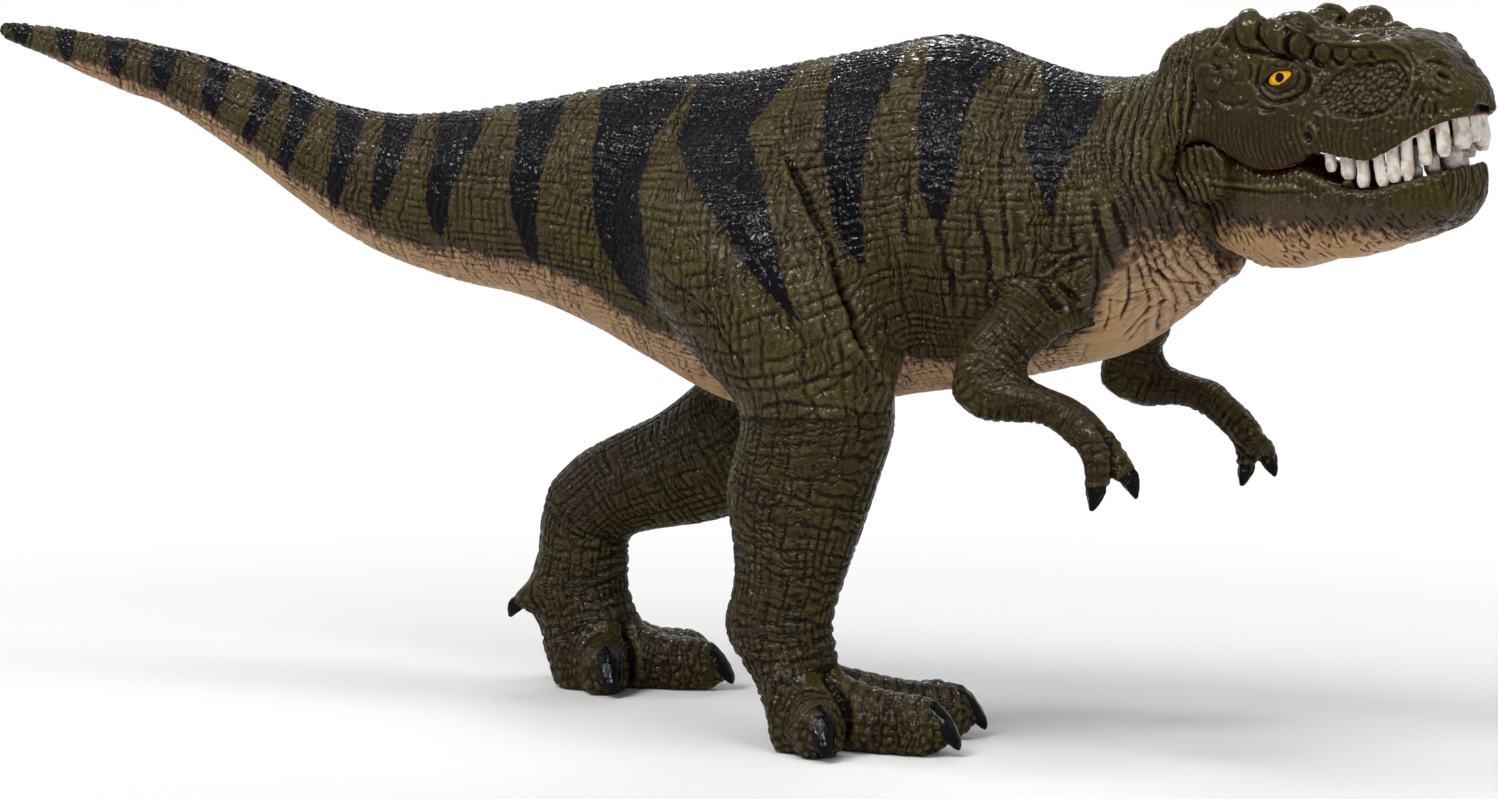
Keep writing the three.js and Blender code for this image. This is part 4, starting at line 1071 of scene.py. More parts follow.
# Each limb's centre lines, the shaft first and then toes or fingers, and the radius round each of them
LIMBS = {
    "right_lower_leg": ([RIGHT_SHAFT] + RIGHT_TOES, [SHAFT_RADIUS] + [TOE_RADIUS] * 3),
    "left_lower_leg": ([LEFT_SHAFT] + LEFT_TOES, [SHAFT_RADIUS] + [TOE_RADIUS] * 3),
    "right_arm": ([RIGHT_ARM] + RIGHT_FINGERS, [ARM_RADIUS] * 3),
    "left_arm": ([LEFT_ARM] + LEFT_FINGERS, [ARM_RADIUS] * 3),
}

NOTCH_DEPTH = 0.85
BODY_LUMPS = 0.3
BODY_LUMP_SIZE = 13
heights = creases(places, BODY_FOLDS) * (1 - places.in_head)
heights += creases(places, NECK_FOLDS) + creases(places, THROAT_SLITS) + neck_folds(places)
heights += (creases(places, HEAD_FOLDS) + domes(places, BROW_DOMES)) * ease(places.head[:, 0], -14, -8)
heights -= NOTCH_DEPTH * dorsal_notches(places)
heights += BODY_LUMPS * noise(places.flow / BODY_LUMP_SIZE, 11) * (1 - places.in_head)
near = np.nonzero(places.in_head > 0.01)[0]
heights[near] += head_forms(places.head[near], places.normals[near]) * places.in_head[near]
heights *= np.maximum(on_body, on_shoulders)

# Fine grooves over body and limbs: spacing, half width and depth in millimetres, and length of a stroke
LINE_SPACING = {"body": 1.6, "leg": 1.75, "arm": 1.5}
LINE_DEPTH = {"body": 0.34, "leg": 0.36, "arm": 0.18}
BODY_LINE_WIDTH = 0.26
LIMB_LINE_WIDTH = 0.27
STROKE_LENGTH = 8
NECK_CALM = 0.85
TOE_CALM = 0.8
neck = ease(places.pixels[:, 0], 1085, 1112)
body_lines = lattice(places.flow, places.girth, LINE_SPACING["body"], STROKE_LENGTH, BODY_LINE_WIDTH, 41)
wrinkles = LINE_DEPTH["body"] * body_lines * (1 - NECK_CALM * neck) * (1 - on_skull) * on_body
flows = np.where((places.in_head > 0.5)[:, None], places.head, places.flow)
girths = places.girth.copy()

# Heights and depths of the limbs' forms, and the spacing of scutes, rings and knuckles, in millimetres
TOE_BANDS = 0.36
TOE_CLEFTS = 2.2
ANKLE_SCUTES = 0.42
SCUTE_SPACING = 2.3
SCUTE_EDGE = 0.17
FOOT_BEADS = 0.28
LEG_LUMPS = 0.3
ARM_LUMPS = 0.35
ARM_RINGS = 0.32
RING_SPACING = 1.6
KNUCKLES = 0.14
KNUCKLE_SPACING = 1.9
FINGER_CLEFTS = 0.6


def leg_forms(source, normals, flow, which, between):
    """Scutes across the toes and instep, pebbles and clefts along the toes, and slow lumps."""
    height = source[:, 2]
    toes = (which > 0) * ease(height, 15, 10)
    bands = narrow(flow[:, 0] / SCUTE_SPACING + 0.35 * noise(source / 5, 15), 1, SCUTE_EDGE)
    out = -TOE_BANDS * toes * bands * ease(normals[:, 2], 0.05, 0.5) * (0.7 + 0.6 * noise(source / 3, 24))
    out -= TOE_CLEFTS * bell(between, 1.1) * ease(height, 17, 9)
    ankle = (which == 0) * ease(height, 32, 24)
    curved = height + 0.16 * (source[:, 1] - np.where(source[:, 1] > 0, 23, -20)) ** 2 / 4
    scutes = narrow(curved / SCUTE_SPACING + 0.3 * noise(source / 6, 14), 1, SCUTE_EDGE)
    uneven = 0.7 + 0.6 * noise(source / 4, 25)
    out -= ANKLE_SCUTES * ankle * scutes * ease(normals[:, 0], 0.0, 0.5) * uneven
    beads = (pebbles(source / 1.6, 17) - 0.5) * ease(height, 24, 12) * ease(normals[:, 2], 0.6, 0.2)
    return out + FOOT_BEADS * beads + LEG_LUMPS * noise(source / 5, 16) * ease(height, 28, 14)


def arm_forms(source, normals, flow, which, between):
    """Rings under the forearm, knuckles, and slow lumps."""
    rings = narrow(flow[:, 0] / RING_SPACING + 0.45 * noise(source / 5, 18), 1, 0.2)
    rings *= ease(normals[:, 2], 0.5, -0.1)
    knuckles = (which > 0) * (0.5 + 0.5 * np.cos(flow[:, 0] * 2 * math.pi / KNUCKLE_SPACING))
    patchy = ease(noise(source / 4, 26), -0.2, 0.5)
    out = ARM_LUMPS * noise(source / 5, 19) - ARM_RINGS * rings * patchy + KNUCKLES * knuckles
    return out - FINGER_CLEFTS * bell(between, 0.7)


for name, (centre_lines, radii) in LIMBS.items():
    share = share_of(name)
    near = np.nonzero(share > 0.01)[0]
    source = places.source[near]
    flow, girth, which, between = limb_flow(source, centre_lines, radii)
    kind = "leg" if "leg" in name else "arm"
    forms = {"leg": leg_forms, "arm": arm_forms}[kind]
    heights[near] += forms(source, places.normals[near], flow, which, between) * share[near]
    lines = lattice(flow, girth, LINE_SPACING[kind], STROKE_LENGTH, LIMB_LINE_WIDTH, 43)
    toes = (which > 0) * (kind == "leg")
    wrinkles[near] += LINE_DEPTH[kind] * (1 - TOE_CALM * toes) * lines * share[near]
    most = share[near] > 0.5
    flows[near[most]] = flow[most]
    girths[near[most]] = girth[most]

skin.push(heights)
skin.push(-wrinkles)
by_eyes = (places.head[:, 0] > LIDS_FROM) & (places.head[:, 0] < LIDS_TO) & (places.in_head > 0.9)
near = np.nonzero(by_eyes)[0]
skin.points[near] = from_head(lidded(to_head(skin.points[near])))
skin.points[:, 2] = np.maximum(skin.points[:, 2], 0)

# The brown wash lies in the grooves, where it is positive, and the high places are brushed lighter; in deep
# creases and bends the wash is partly painted shade, and the limbs get painted shade all over
LIMB_SHADE = 0.35
SKULL_SHADE = 0.25
LID_SHADE = 1.4
LID_SHADE_AT = 1.14
LID_SHADE_WIDTH = 0.13
LID_SHADE_REACH = 6
SKULL_DEEPENING = 0.25
# Rounds of averaging and full depths in millimetres, in grooves and then in bends, and the bends' share
SKIN_WASH_AND_SHADE = {"reach": 10, "depth": 0.34, "calm": 4, "bend": 0.04, "share": 0.6}
wash = skin.wash(heights - wrinkles, SKIN_WASH_AND_SHADE)
wash = np.where(wash > 0, wash * (1 + SKULL_DEEPENING * on_skull), wash)
# Painted shade: the limbs are darker all over, for light that falls from above; the skull is darkened as well
wash += LIMB_SHADE * (1 - on_body) + SKULL_SHADE * on_skull
from_eye = np.hypot(*(places.head[:, [0, 2]] - HEAD_EYE[[0, 2]]).T)
near = np.nonzero((from_eye < LID_SHADE_REACH) & (places.in_head > 0.9))[0]
wash[near] += LID_SHADE * bell(almond(places.head[near]) - LID_SHADE_AT, LID_SHADE_WIDTH)

normals = skin.normals()
final = Places(skin.points, normals)
# A place outside all stripes, in pixels, and how many millimetres outside them the head counts
OUTSIDE = -20.0
HEAD_MARGIN = 9
stripe = np.full(len(skin.points), OUTSIDE)
for outline in STRIPES:
    low, high = np.min(outline, 0) + OUTSIDE, np.max(outline, 0) - OUTSIDE
    near = np.nonzero(((final.pixels > low) & (final.pixels < high)).all(1))[0]
    stripe[near] = np.maximum(stripe[near], inside_outline(final.pixels[near], outline))
stripe = np.where(on_body > 0.5, stripe, OUTSIDE) / PX_PER_MM - final.in_head * HEAD_MARGIN

belly_x, belly_y = np.array(BELLY_LINE, float).T
below = final.pixels[:, 1] - np.interp(final.pixels[:, 0], belly_x, belly_y)
belly = below / np.interp(final.pixels[:, 0], *np.array(GREY_BAND, float).T)
# The grey above the tan is only on the neck
NECK_GREY = (1050, 990)
EDGE_SHARPENING = 4
belly = np.where(belly < 0, belly * (1 + EDGE_SHARPENING * ease(final.pixels[:, 0], *NECK_GREY)), belly)
# The thighs have no tan: they lie between back and front, and off the body's own oval or inside it
NO_BELLY = -3
THIGH_BACK = (-36, -30)
THIGH_FRONT = (56, 50)
INTO_BODY = (-4.5, -2.5)
OFF_BODY = (2.2, 0.8)
thigh = ease(final.source[:, 0], *THIGH_BACK) * ease(final.source[:, 0], *THIGH_FRONT)
thigh *= 1 - ease(final.beyond_body, *INTO_BODY) * ease(final.beyond_body, *OFF_BODY)
belly = belly * (1 - thigh) + NO_BELLY * thigh
belly = np.where(on_body > 0.5, belly, NO_BELLY)
on_skull = final.in_head * ease(final.head[:, 0], -2, 2)
belly = belly * (1 - on_skull) + NO_BELLY * on_skull


def lining(head, normals, lip, upward, low, high):
    """1 on the inside of the mouth, which faces inwards, up from the jaw or down from the skull."""
    facing = normals @ head_axes
    outward = facing[:, 1] * np.sign(head[:, 1])
    half = np.interp(head[:, 0], lip[:, 0], lip[:, 1])
    inside = ease(half - np.abs(head[:, 1]), 0.8, 1.4) * ease(outward, 0.35, 0.1)
    inside *= ease(facing[:, 2] * upward, -0.3, 0.0) * ease(facing[:, 0], 0.5, 0.2)
    return inside * ease(head[:, 0], low, low + 2) * ease(head[:, 0], high, high - 1.5)


mouth = lining(final.head, normals, UPPER_LIP, upward=-1, low=4, high=40.5) * final.in_head
mouth *= ease(final.head[:, 2], 8, 7)

# The arms have fewer of the fine lines than the body, and the skull has the fewest
ARM_PLAINNESS = 0.35
ATTRIBUTES = {
    "wash": wash,
    "stripe": stripe,
    "belly": belly,
    "mouth": mouth,
    "skull": np.maximum(on_skull, ARM_PLAINNESS * on_shoulders),
    "flow": flows,
    "girth": girths,
}

# Pieces


def solid_mesh(name, points, quads, triangles=None, normals=None, attributes=None):
    """A smooth mesh in metres, with values on its points."""
    triangles = np.zeros((0, 3), int) if triangles is None else triangles
    corners = np.concatenate([quads.ravel(), triangles.ravel()])
    sizes = np.concatenate([np.full(len(quads), 4), np.full(len(triangles), 3)])
    mesh = mesh_of(name, points * MM, corners, sizes)
    mesh.validate()
    mesh.polygons.foreach_set("use_smooth", np.ones(len(sizes), bool))
    for key, values in (attributes or {}).items():
        vector = values.ndim == 2
        layer = mesh.attributes.new(key, "FLOAT_VECTOR" if vector else "FLOAT", "POINT")
        layer.data.foreach_set("vector" if vector else "value", values.astype(np.float32).ravel())
    if normals is not None:
        mesh.normals_split_custom_set_from_vertices(normals.astype(np.float32))
    return mesh


def piece(name, mesh, material, body, slot, *nodes):
    """Makes an object of the scene that rides on a body and stands for CAD nodes."""
    made = bpy.data.objects.new(name, mesh)
    bpy.context.scene.collection.objects.link(made)
    mesh.materials.append(material)
    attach(made, body)
    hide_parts(*nodes)


# How deep the caps that close the pieces at their seams are sunk, in millimetres
CAP_DEPTH = 0.4


def patch(label):
    """One piece's share of the skin, closed over its seams with sunken caps."""
    quads = skin.faces[face_labels == label]
    used, renamed = np.unique(quads, return_inverse=True)
    quads = renamed.reshape(-1, 4)
    runs = np.stack([quads, np.roll(quads, -1, 1)], 2).reshape(-1, 2)
    key = runs.min(1) * len(used) + runs.max(1)
    _, first, count = np.unique(key, return_index=True, return_counts=True)
    rim = runs[first[count == 1]]
    group = connected(len(used), rim)
    points = skin.points[used]
    normals_here = normals[used]
    values = {key: layer[used] for key, layer in ATTRIBUTES.items()}
    middle = points.mean(0)
    triangles = []
    for loop in np.unique(group[rim[:, 0]]):
        edges = rim[group[rim[:, 0]] == loop]
        ring = points[np.unique(edges)]
        centre = ring.mean(0)
        inward = middle - centre
        inward /= np.linalg.norm(inward)
        number = len(points)
        points = np.vstack([points, centre + inward * CAP_DEPTH])
        normals_here = np.vstack([normals_here, -inward])
        values = {key: np.concatenate([layer, layer[edges[:1, 0]]]) for key, layer in values.items()}
        triangles += [[b, a, number] for a, b in edges]
    return points, quads, np.array(triangles).reshape(-1, 3), normals_here, values


# Materials


def linear(red, green, blue):
    """A colour written as 0 to 255 screen values, as the shader's own values."""
    out = []
    for value in (red, green, blue):
        share = value / 255
        out.append(share / 12.92 if share <= 0.04045 else ((share + 0.055) / 1.055) ** 2.4)
    return (*out, 1)


class Paint:
    """A material whose nodes are added one call at a time."""

    def __init__(self, name, roughness, specular=0.5, coat=0.0, coat_roughness=0.1):
        self.material = bpy.data.materials.new(name)
        self.material.use_nodes = True
        self.tree = self.material.node_tree
        self.shader = self.tree.nodes["Principled BSDF"]
        self.shader.inputs["Roughness"].default_value = roughness
        self.shader.inputs["Specular IOR Level"].default_value = specular
        self.shader.inputs["Coat Weight"].default_value = coat
        self.shader.inputs["Coat Roughness"].default_value = coat_roughness

    def feed(self, socket, value):
        if isinstance(value, bpy.types.NodeSocket):
            self.tree.links.new(value, socket)
        else:
            socket.default_value = value

    def add(self, kind, inputs, output=0, **settings):
        """Adds a node, feeds its inputs by name or number, and returns one of its outputs."""
        made = self.tree.nodes.new("ShaderNode" + kind)
        for key, value in settings.items():
            setattr(made, key, value)
        for key, value in inputs.items():
            self.feed(made.inputs[key], value)
        return made.outputs[output]

    def value(self, name):
        return self.add("Attribute", {}, "Fac", attribute_name=name)

    def vector(self, name):
        return self.add("Attribute", {}, "Vector", attribute_name=name)

    def math(self, operation, first, second=0.0, third=0.0):
        return self.add("Math", {0: first, 1: second, 2: third}, operation=operation)

    def noise(self, vector, scale, detail=2.0, stretch=(1, 1, 1), lift=0.0):
        """Noise over places; each lift gives another pattern."""
        place = self.add("VectorMath", {0: vector, 1: stretch}, operation="MULTIPLY")
        if lift:
            place = self.add("VectorMath", {0: place, 1: (lift, lift, lift)}, operation="ADD")
        return self.add("TexNoise", {"Vector": place, "Scale": scale, "Detail": detail})

    def ramp(self, value, low, high, to_low=0.0, to_high=1.0):
        """A smooth step from to_low, at low and before, to to_high."""
        return self.add("MapRange", {"Value": value, 1: low, 2: high, 3: to_low, 4: to_high},
                        interpolation_type="SMOOTHSTEP")

    def mix(self, factor, first, second):
        return self.add("Mix", {0: factor, 6: first, 7: second}, 2, data_type="RGBA")

    def bump(self, height, distance, strength=1.0):
        return self.add("Bump", {"Height": height, "Distance": distance, "Strength": strength}, "Normal")

    def finish(self, color, roughness=None, normal=None):
        self.feed(self.shader.inputs["Base Color"], color)
        if roughness is not None:
            self.feed(self.shader.inputs["Roughness"], roughness)
        if normal is not None:
            self.feed(self.shader.inputs["Normal"], normal)
        return self.material


OLIVE = linear(60, 53, 22)
OLIVE_LIGHT = linear(102, 92, 60)
OLIVE_BROWN = linear(52, 41, 24)
WASH_AND_SHADE_BROWN = linear(19, 12, 8)
STRIPE_BLACK = linear(12, 9, 14)
STRIPE_BRUSHED = linear(21, 17, 24)
BELLY_TAN = linear(174, 140, 101)
BELLY_PINK = linear(170, 131, 103)
BELLY_LIGHT = linear(194, 166, 136)
GREY_BROWN = linear(74, 62, 51)
# The mouth's reds are partly painted light: lighter than the paint, so that the shaded inside of the mouth
# reads red
MOUTH_RED = linear(150, 30, 52)
MOUTH_PINK = linear(186, 76, 108)
TOOTH_IVORY = linear(224, 217, 210)
TOOTH_DULL = linear(192, 170, 148)
TOOTH_STAIN = linear(150, 108, 74)
TOOTH_ROOT = linear(122, 76, 46)
TOOTH_GROOVE = linear(52, 30, 20)
GUM_DARK = linear(24, 10, 10)
CLAW_BLACK = linear(6, 6, 8)
CLAW_WORN = linear(18, 16, 15)
TONGUE_PINK = linear(146, 44, 76)
TONGUE_DARK = linear(104, 26, 48)
IRIS_YELLOW = linear(255, 194, 22)
IRIS_AMBER = linear(253, 162, 12)
IRIS_EDGE = linear(196, 104, 10)
PUPIL_BLACK = linear(10, 8, 8)
STEEL_DARK = linear(150, 152, 156)
STEEL_LIGHT = linear(186, 186, 190)

# Heights of the bump in metres
SKIN_BUMP = 0.0003
TOOTH_BUMP = 0.00014
CLAW_BUMP = 0.00022
TONGUE_BUMP = 0.00015


def strokes(paint, across, along, bend, spacing, width, reach, lift):
    """Fine parallel lines broken into strokes: the grooves, the way off each line, and where strokes are."""
    phase = paint.math("ADD", paint.math("MULTIPLY", across, 1 / spacing), bend)
    whole = paint.math("ROUND", phase)
    off = paint.math("ABSOLUTE", paint.math("SUBTRACT", phase, whole))
    place = paint.add("CombineXYZ", {0: paint.math("MULTIPLY", whole, 3.7),
                                     1: paint.math("MULTIPLY", along, 1 / reach), 2: lift})
    present = paint.ramp(paint.add("TexNoise", {"Vector": place, "Scale": 1.0, "Detail": 1.0}), 0.36, 0.54)
    return paint.math("MULTIPLY", paint.ramp(off, width / spacing, 0.0), present), off, present


# Fine lines round a limb and along it: spacing, half width and length of a stroke in millimetres, and depth
RING_LINES = ((1.05, 0.34, 4.5, 1.0), (0.55, 0.16, 2.4, 0.25))
LONG_LINES = ((1.5, 0.32, 4.0, 0.9), (0.7, 0.17, 2.4, 0.2))


def fine_lines(paint, flow):
    """Two sizes of fine lines, each round the limbs and along them, and the ridges between the broadest."""
    along = paint.add("SeparateXYZ", {0: flow}, 0)
    girth = paint.value("girth")
    grooves = None
    ridges = None
    for rows, across, down, lift in ((RING_LINES, along, girth, 3.0), (LONG_LINES, girth, along, 23.0)):
        for number, (spacing, width, reach, depth) in enumerate(rows):
            wander = paint.noise(flow, 0.22, 3.0, lift=lift + number)
            bend = paint.math("MULTIPLY", wander, 5.0)
            lines = strokes(paint, across, down, bend, spacing, width, reach, lift + number * 8)
            groove = paint.math("MULTIPLY", lines[0], depth)
            grooves = groove if grooves is None else paint.math("MAXIMUM", grooves, groove)
            if ridges is None:
                ridges = paint.math("MULTIPLY", paint.ramp(lines[1], 0.2, 0.5), lines[2])
    return grooves, paint.math("MULTIPLY", ridges, paint.math("SUBTRACT", 1.0, grooves))


def skin_material():
    paint = Paint("painted_skin", 0.4, 0.05)
    flow = paint.vector("flow")
    wash = paint.value("wash")
    skull = paint.value("skull")
    patches = paint.noise(flow, 0.09, 3.0)
    speckle = paint.noise(flow, 0.9, 3.0, lift=7)
    grain = paint.noise(flow, 3.2, 2.0, lift=13)
    patchy = paint.ramp(paint.noise(flow, 0.12, 2.0, lift=31), 0.35, 0.6, 0.45, 1.0)
    patchy = paint.math("MULTIPLY", patchy, paint.ramp(skull, 0.0, 1.0, 1.0, 0.12))
    lines, ridges = [paint.math("MULTIPLY", part, patchy) for part in fine_lines(paint, flow)]

    # Green, brushed lighter on its high places, grey towards the belly, and tan below
    belly = paint.math("ADD", paint.value("belly"), paint.ramp(speckle, 0.3, 0.7, -0.3, 0.3))
    high = paint.ramp(wash, -0.05, -0.7)
    green = paint.mix(paint.ramp(patches, 0.36, 0.66), OLIVE, OLIVE_BROWN)
    brushed = paint.math("MULTIPLY", paint.ramp(speckle, 0.4, 0.7), paint.ramp(wash, 0.3, -0.1))
    brushed = paint.math("MAXIMUM", paint.math("MULTIPLY", brushed, 0.4), paint.math("MULTIPLY", high, 0.55))
    brushed = paint.math("MAXIMUM", brushed, paint.math("MULTIPLY", ridges, 0.35))
    green = paint.mix(brushed, green, OLIVE_LIGHT)
    grey = paint.mix(paint.ramp(belly, -1.5, -0.5), green, GREY_BROWN)
    tan = paint.mix(paint.ramp(patches, 0.4, 0.7), BELLY_TAN, BELLY_PINK)
    tan = paint.mix(paint.math("MULTIPLY", high, 0.6), tan, BELLY_LIGHT)
    base = paint.mix(paint.ramp(belly, -0.3, 0.5), grey, tan)

    # The brown wash in grooves and fine lines, partly painted shade in deep creases and on the limbs
    dark_wash_and_shade = paint.math("ADD", paint.math("MAXIMUM", wash, 0.0), paint.math("MULTIPLY", lines, 0.85))
    dark_wash_and_shade = paint.math("ADD", dark_wash_and_shade, paint.ramp(grain, 0.55, 0.8, 0.0, 0.25))
    # Less wash on the tan below: partly the belly's cleaner paint, partly painted light that lifts the throat
    # out of the head's shadow
    dark_wash_and_shade = paint.math("MULTIPLY", dark_wash_and_shade, paint.ramp(belly, -0.2, 0.8, 1.0, 0.82))
    dark_wash_and_shade = paint.ramp(dark_wash_and_shade, 0.05, 1.2, 0.0, 0.88)
    base = paint.mix(dark_wash_and_shade, base, WASH_AND_SHADE_BROWN)

    # The black stripes, which are painted over the wash and its painted shade, and the red of the mouth,
    # partly painted light
    edge = paint.ramp(speckle, 0.3, 0.7, -0.22, 0.22)
    edge = paint.math("ADD", edge, paint.ramp(grain, 0.3, 0.7, -0.08, 0.08))
    stripe = paint.ramp(paint.math("ADD", paint.value("stripe"), edge), -0.12, 0.12)
    black = paint.mix(paint.math("MULTIPLY", high, 0.6), STRIPE_BLACK, STRIPE_BRUSHED)
    base = paint.mix(stripe, base, black)
    red = paint.mix(paint.ramp(speckle, 0.4, 0.7), MOUTH_RED, MOUTH_PINK)
    base = paint.mix(paint.value("mouth"), base, red)

    # Glossy paint, duller in the wash and painted shade and on the belly, over soft facets and fine lines
    rough = paint.ramp(speckle, 0.3, 0.7, 0.12, 0.2)
    rough = paint.math("ADD", rough, paint.math("MULTIPLY", dark_wash_and_shade, 0.1))
    rough = paint.math("SUBTRACT", rough, paint.math("MULTIPLY", stripe, 0.04))
    rough = paint.math("ADD", rough, paint.ramp(belly, -0.5, 0.5, 0.0, 0.2))
    facets = paint.noise(flow, 1.2, 0.0, lift=17)
    lines = paint.math("MULTIPLY", lines, paint.ramp(stripe, 0.0, 1.0, 0.9, 0.4))
    height = paint.math("SUBTRACT", paint.math("MULTIPLY", facets, 0.85), lines)
    return paint.finish(base, rough, paint.bump(height, SKIN_BUMP))


def tooth_material():
    paint = Paint("tooth_ivory", 0.3, 0.12)
    place = paint.vector("flow")
    stain = paint.noise(place, 0.8, 4.0)
    ivory = paint.mix(paint.ramp(stain, 0.44, 0.7), TOOTH_IVORY, TOOTH_DULL)
    streaks = paint.noise(place, 1.6, 3.0, (1, 1, 0.2), 5)
    ivory = paint.mix(paint.ramp(streaks, 0.58, 0.76, 0.0, 0.5), ivory, TOOTH_STAIN)
    gum = paint.value("gum")
    root = paint.mix(paint.ramp(gum, 0.25, 0.65), ivory, TOOTH_ROOT)
    base = paint.mix(paint.ramp(gum, 0.55, 0.95), root, GUM_DARK)
    # Darker in the bends between teeth: brown wash, and partly painted shade
    base = paint.mix(paint.ramp(paint.value("wash"), 0.25, 1.0, 0.0, 0.9), base, TOOTH_GROOVE)
    normal = paint.bump(paint.noise(place, 2.2, 3.0, (1, 1, 0.4), 2), TOOTH_BUMP, 0.7)
    return paint.finish(base, paint.ramp(stain, 0.3, 0.7, 0.28, 0.45), normal)


def claw_material():
    paint = Paint("claw_black", 0.15, 0.07)
    place = paint.vector("flow")
    wear = paint.noise(place, 0.8, 4.0)
    base = paint.mix(paint.ramp(wear, 0.5, 0.75), CLAW_BLACK, CLAW_WORN)
    height = paint.noise(place, 1.1, 4.0, (0.4, 1, 1), 4)
    return paint.finish(base, paint.ramp(wear, 0.3, 0.7, 0.14, 0.28), paint.bump(height, CLAW_BUMP, 0.7))


def tongue_material():
    paint = Paint("tongue_pink", 0.3, 0.4)
    place = paint.vector("flow")
    spots = paint.noise(place, 1.4, 3.0)
    base = paint.mix(paint.ramp(spots, 0.35, 0.7), TONGUE_PINK, TONGUE_DARK)
    return paint.finish(base, None, paint.bump(paint.noise(place, 3.0, 2.0, lift=3), TONGUE_BUMP, 0.6))


# The pupil in millimetres, how soft its edge is, and how far forward it looks
PUPIL_RADIUS = 0.72
PUPIL_EDGE = 0.05
PUPIL_ASIDE = 0.3
IRIS_STRETCH = 1.15


def eye_material():
    paint = Paint("eye_amber", 0.1, 0.05, 0.1, 0.03)
    gaze = paint.vector("flow")
    parts = paint.add("SeparateXYZ", {0: gaze}, 0).node
    aside = paint.math("SUBTRACT", parts.outputs[0], PUPIL_ASIDE)
    aside = paint.math("MULTIPLY", aside, 1 / IRIS_STRETCH)
    squares = [paint.math("MULTIPLY", part, part) for part in (aside, parts.outputs[1])]
    away = paint.math("SQRT", paint.math("ADD", *squares))
    streak = paint.noise(gaze, 2.4, 3.0)
    iris = paint.mix(paint.ramp(streak, 0.35, 0.7), IRIS_YELLOW, IRIS_AMBER)
    iris = paint.mix(paint.ramp(away, 1.7, 2.7, 0.0, 0.7), iris, IRIS_EDGE)
    wobble = paint.math("ADD", away, paint.ramp(streak, 0.3, 0.7, -0.05, 0.05))
    pupil = paint.ramp(wobble, PUPIL_RADIUS + PUPIL_EDGE, PUPIL_RADIUS - PUPIL_EDGE)
    return paint.finish(paint.mix(pupil, iris, PUPIL_BLACK))


def pin_material():
    paint = Paint("pin_steel", 0.3)
    paint.shader.inputs["Metallic"].default_value = 1.0
    place = paint.add("TexCoord", {}, "Object")
    scratch = paint.noise(place, 900.0, 3.0, (1, 0.1, 1))
    base = paint.mix(scratch, STEEL_DARK, STEEL_LIGHT)
    return paint.finish(base, paint.ramp(scratch, 0.3, 0.7, 0.22, 0.4))


body_skin = skin_material()
teeth_paint = tooth_material()
claw_paint = claw_material()
tongue_paint = tongue_material()
eye_paint = eye_material()

for label, name in enumerate(SKIN_NODES):
    points, quads, caps, flat_normals, values = patch(label)
    mesh = solid_mesh(name + "_skin", points, quads, caps, flat_normals, values)
    piece(name + "_skin", mesh, body_skin, "figure", "skin", name)

# The lower jaw

JAW_VOXEL = 0.46
JAW_SMOOTHING = 5
# Folds read from the photograph like those of the body
JAW_FOLDS = [
    (-0.3, 2.6, [(1198, 182), (1245, 185), (1288, 188), (1312, 191)]),
    (0.2, 1.8, [(1200, 187), (1245, 190), (1290, 194)]),
    (0.4, 1.8, [(1455, 219), (1464, 223), (1475, 216)]),
    (0.4, 1.8, [(1443, 218), (1452, 225), (1458, 229)]),
    (-0.5, 5.0, [(1300, 172), (1314, 180), (1330, 186)]),
]
# Where the jaw turns tan below, read from the photograph, and how deep the blend above it is
JAW_TAN_LINE = [(1195, 226), (1300, 230), (1350, 233), (1400, 235), (1490, 238)]
JAW_BLEND = 26
# Heights and depths of the jaw's forms in millimetres, and where the boss under it is, forward and up
JAW_SLITS = 0.34
JAW_LINES = 0.03
JAW_LUMPS = 0.25
JAW_GRAIN = 0.05
BOSS_HEIGHT = 0.9
BOSS_AT = (29, -13.5)
BOSS_SIZE = (4.5, 2.6)
CHIN_GROOVES = 0.25
LOBE_FOLDS = 0.5
LOBE_SINK = 0.45
LOBE_FOLD_SPACING = 1.5
# How free of fine lines the jaw is, from 0 to 1, and how tan the skin under it is that faces away
JAW_PLAINNESS = 0.85
UNDERSIDE_TAN = 1.2
JAW_WASH_AND_SHADE = {"reach": 12, "depth": 0.22, "calm": 3, "bend": 0.02, "share": 0.5}
jaw = fine_node("lower_jaw", 0.0, JAW_VOXEL, JAW_SMOOTHING)
jaw_places = Places(jaw.points, jaw.normals())
u, v, z = jaw_places.head.T
inner = lining(jaw_places.head, jaw_places.normals, LOWER_LIP, upward=1, low=2, high=39.5)
inner *= ease(z, -10.5, -9.5)
outer = 1 - inner
under = ease(jaw_places.pixels[:, 1], 204, 226)
slanted = np.stack([(u * 0.9 + z * 0.35) / 0.95, z / 3.4, v / 3.4], 1)
slits = bell(noise(slanted, 81), 0.2) * under * ease(noise(jaw_places.head / 2.2, 82), -0.25, 0.15)
jaw_shape = creases(jaw_places, JAW_FOLDS) - JAW_SLITS * slits * outer
upper_band = ease(jaw_places.pixels[:, 1], 215, 195)
jaw_lines = np.sin(u * 2 * math.pi + noise(jaw_places.head / 4, 83) * 5)
jaw_shape += JAW_LINES * jaw_lines * outer * upper_band
jaw_shape += JAW_LUMPS * noise(jaw_places.head / 5, 84) * outer
jaw_shape += JAW_GRAIN * (pebbles(jaw_places.head / 0.9, 85) - 0.5)
jaw_shape += BOSS_HEIGHT * bell(u - BOSS_AT[0], BOSS_SIZE[0]) * bell(z - BOSS_AT[1], BOSS_SIZE[1])
chin_grooves = bell(noise(np.stack([v / 1.1, z / 6, u / 6], 1), 86), 0.16) * ease(u, 37, 39)
jaw_shape -= CHIN_GROOVES * chin_grooves * outer
lobe = ease(u, 5, 1) * outer
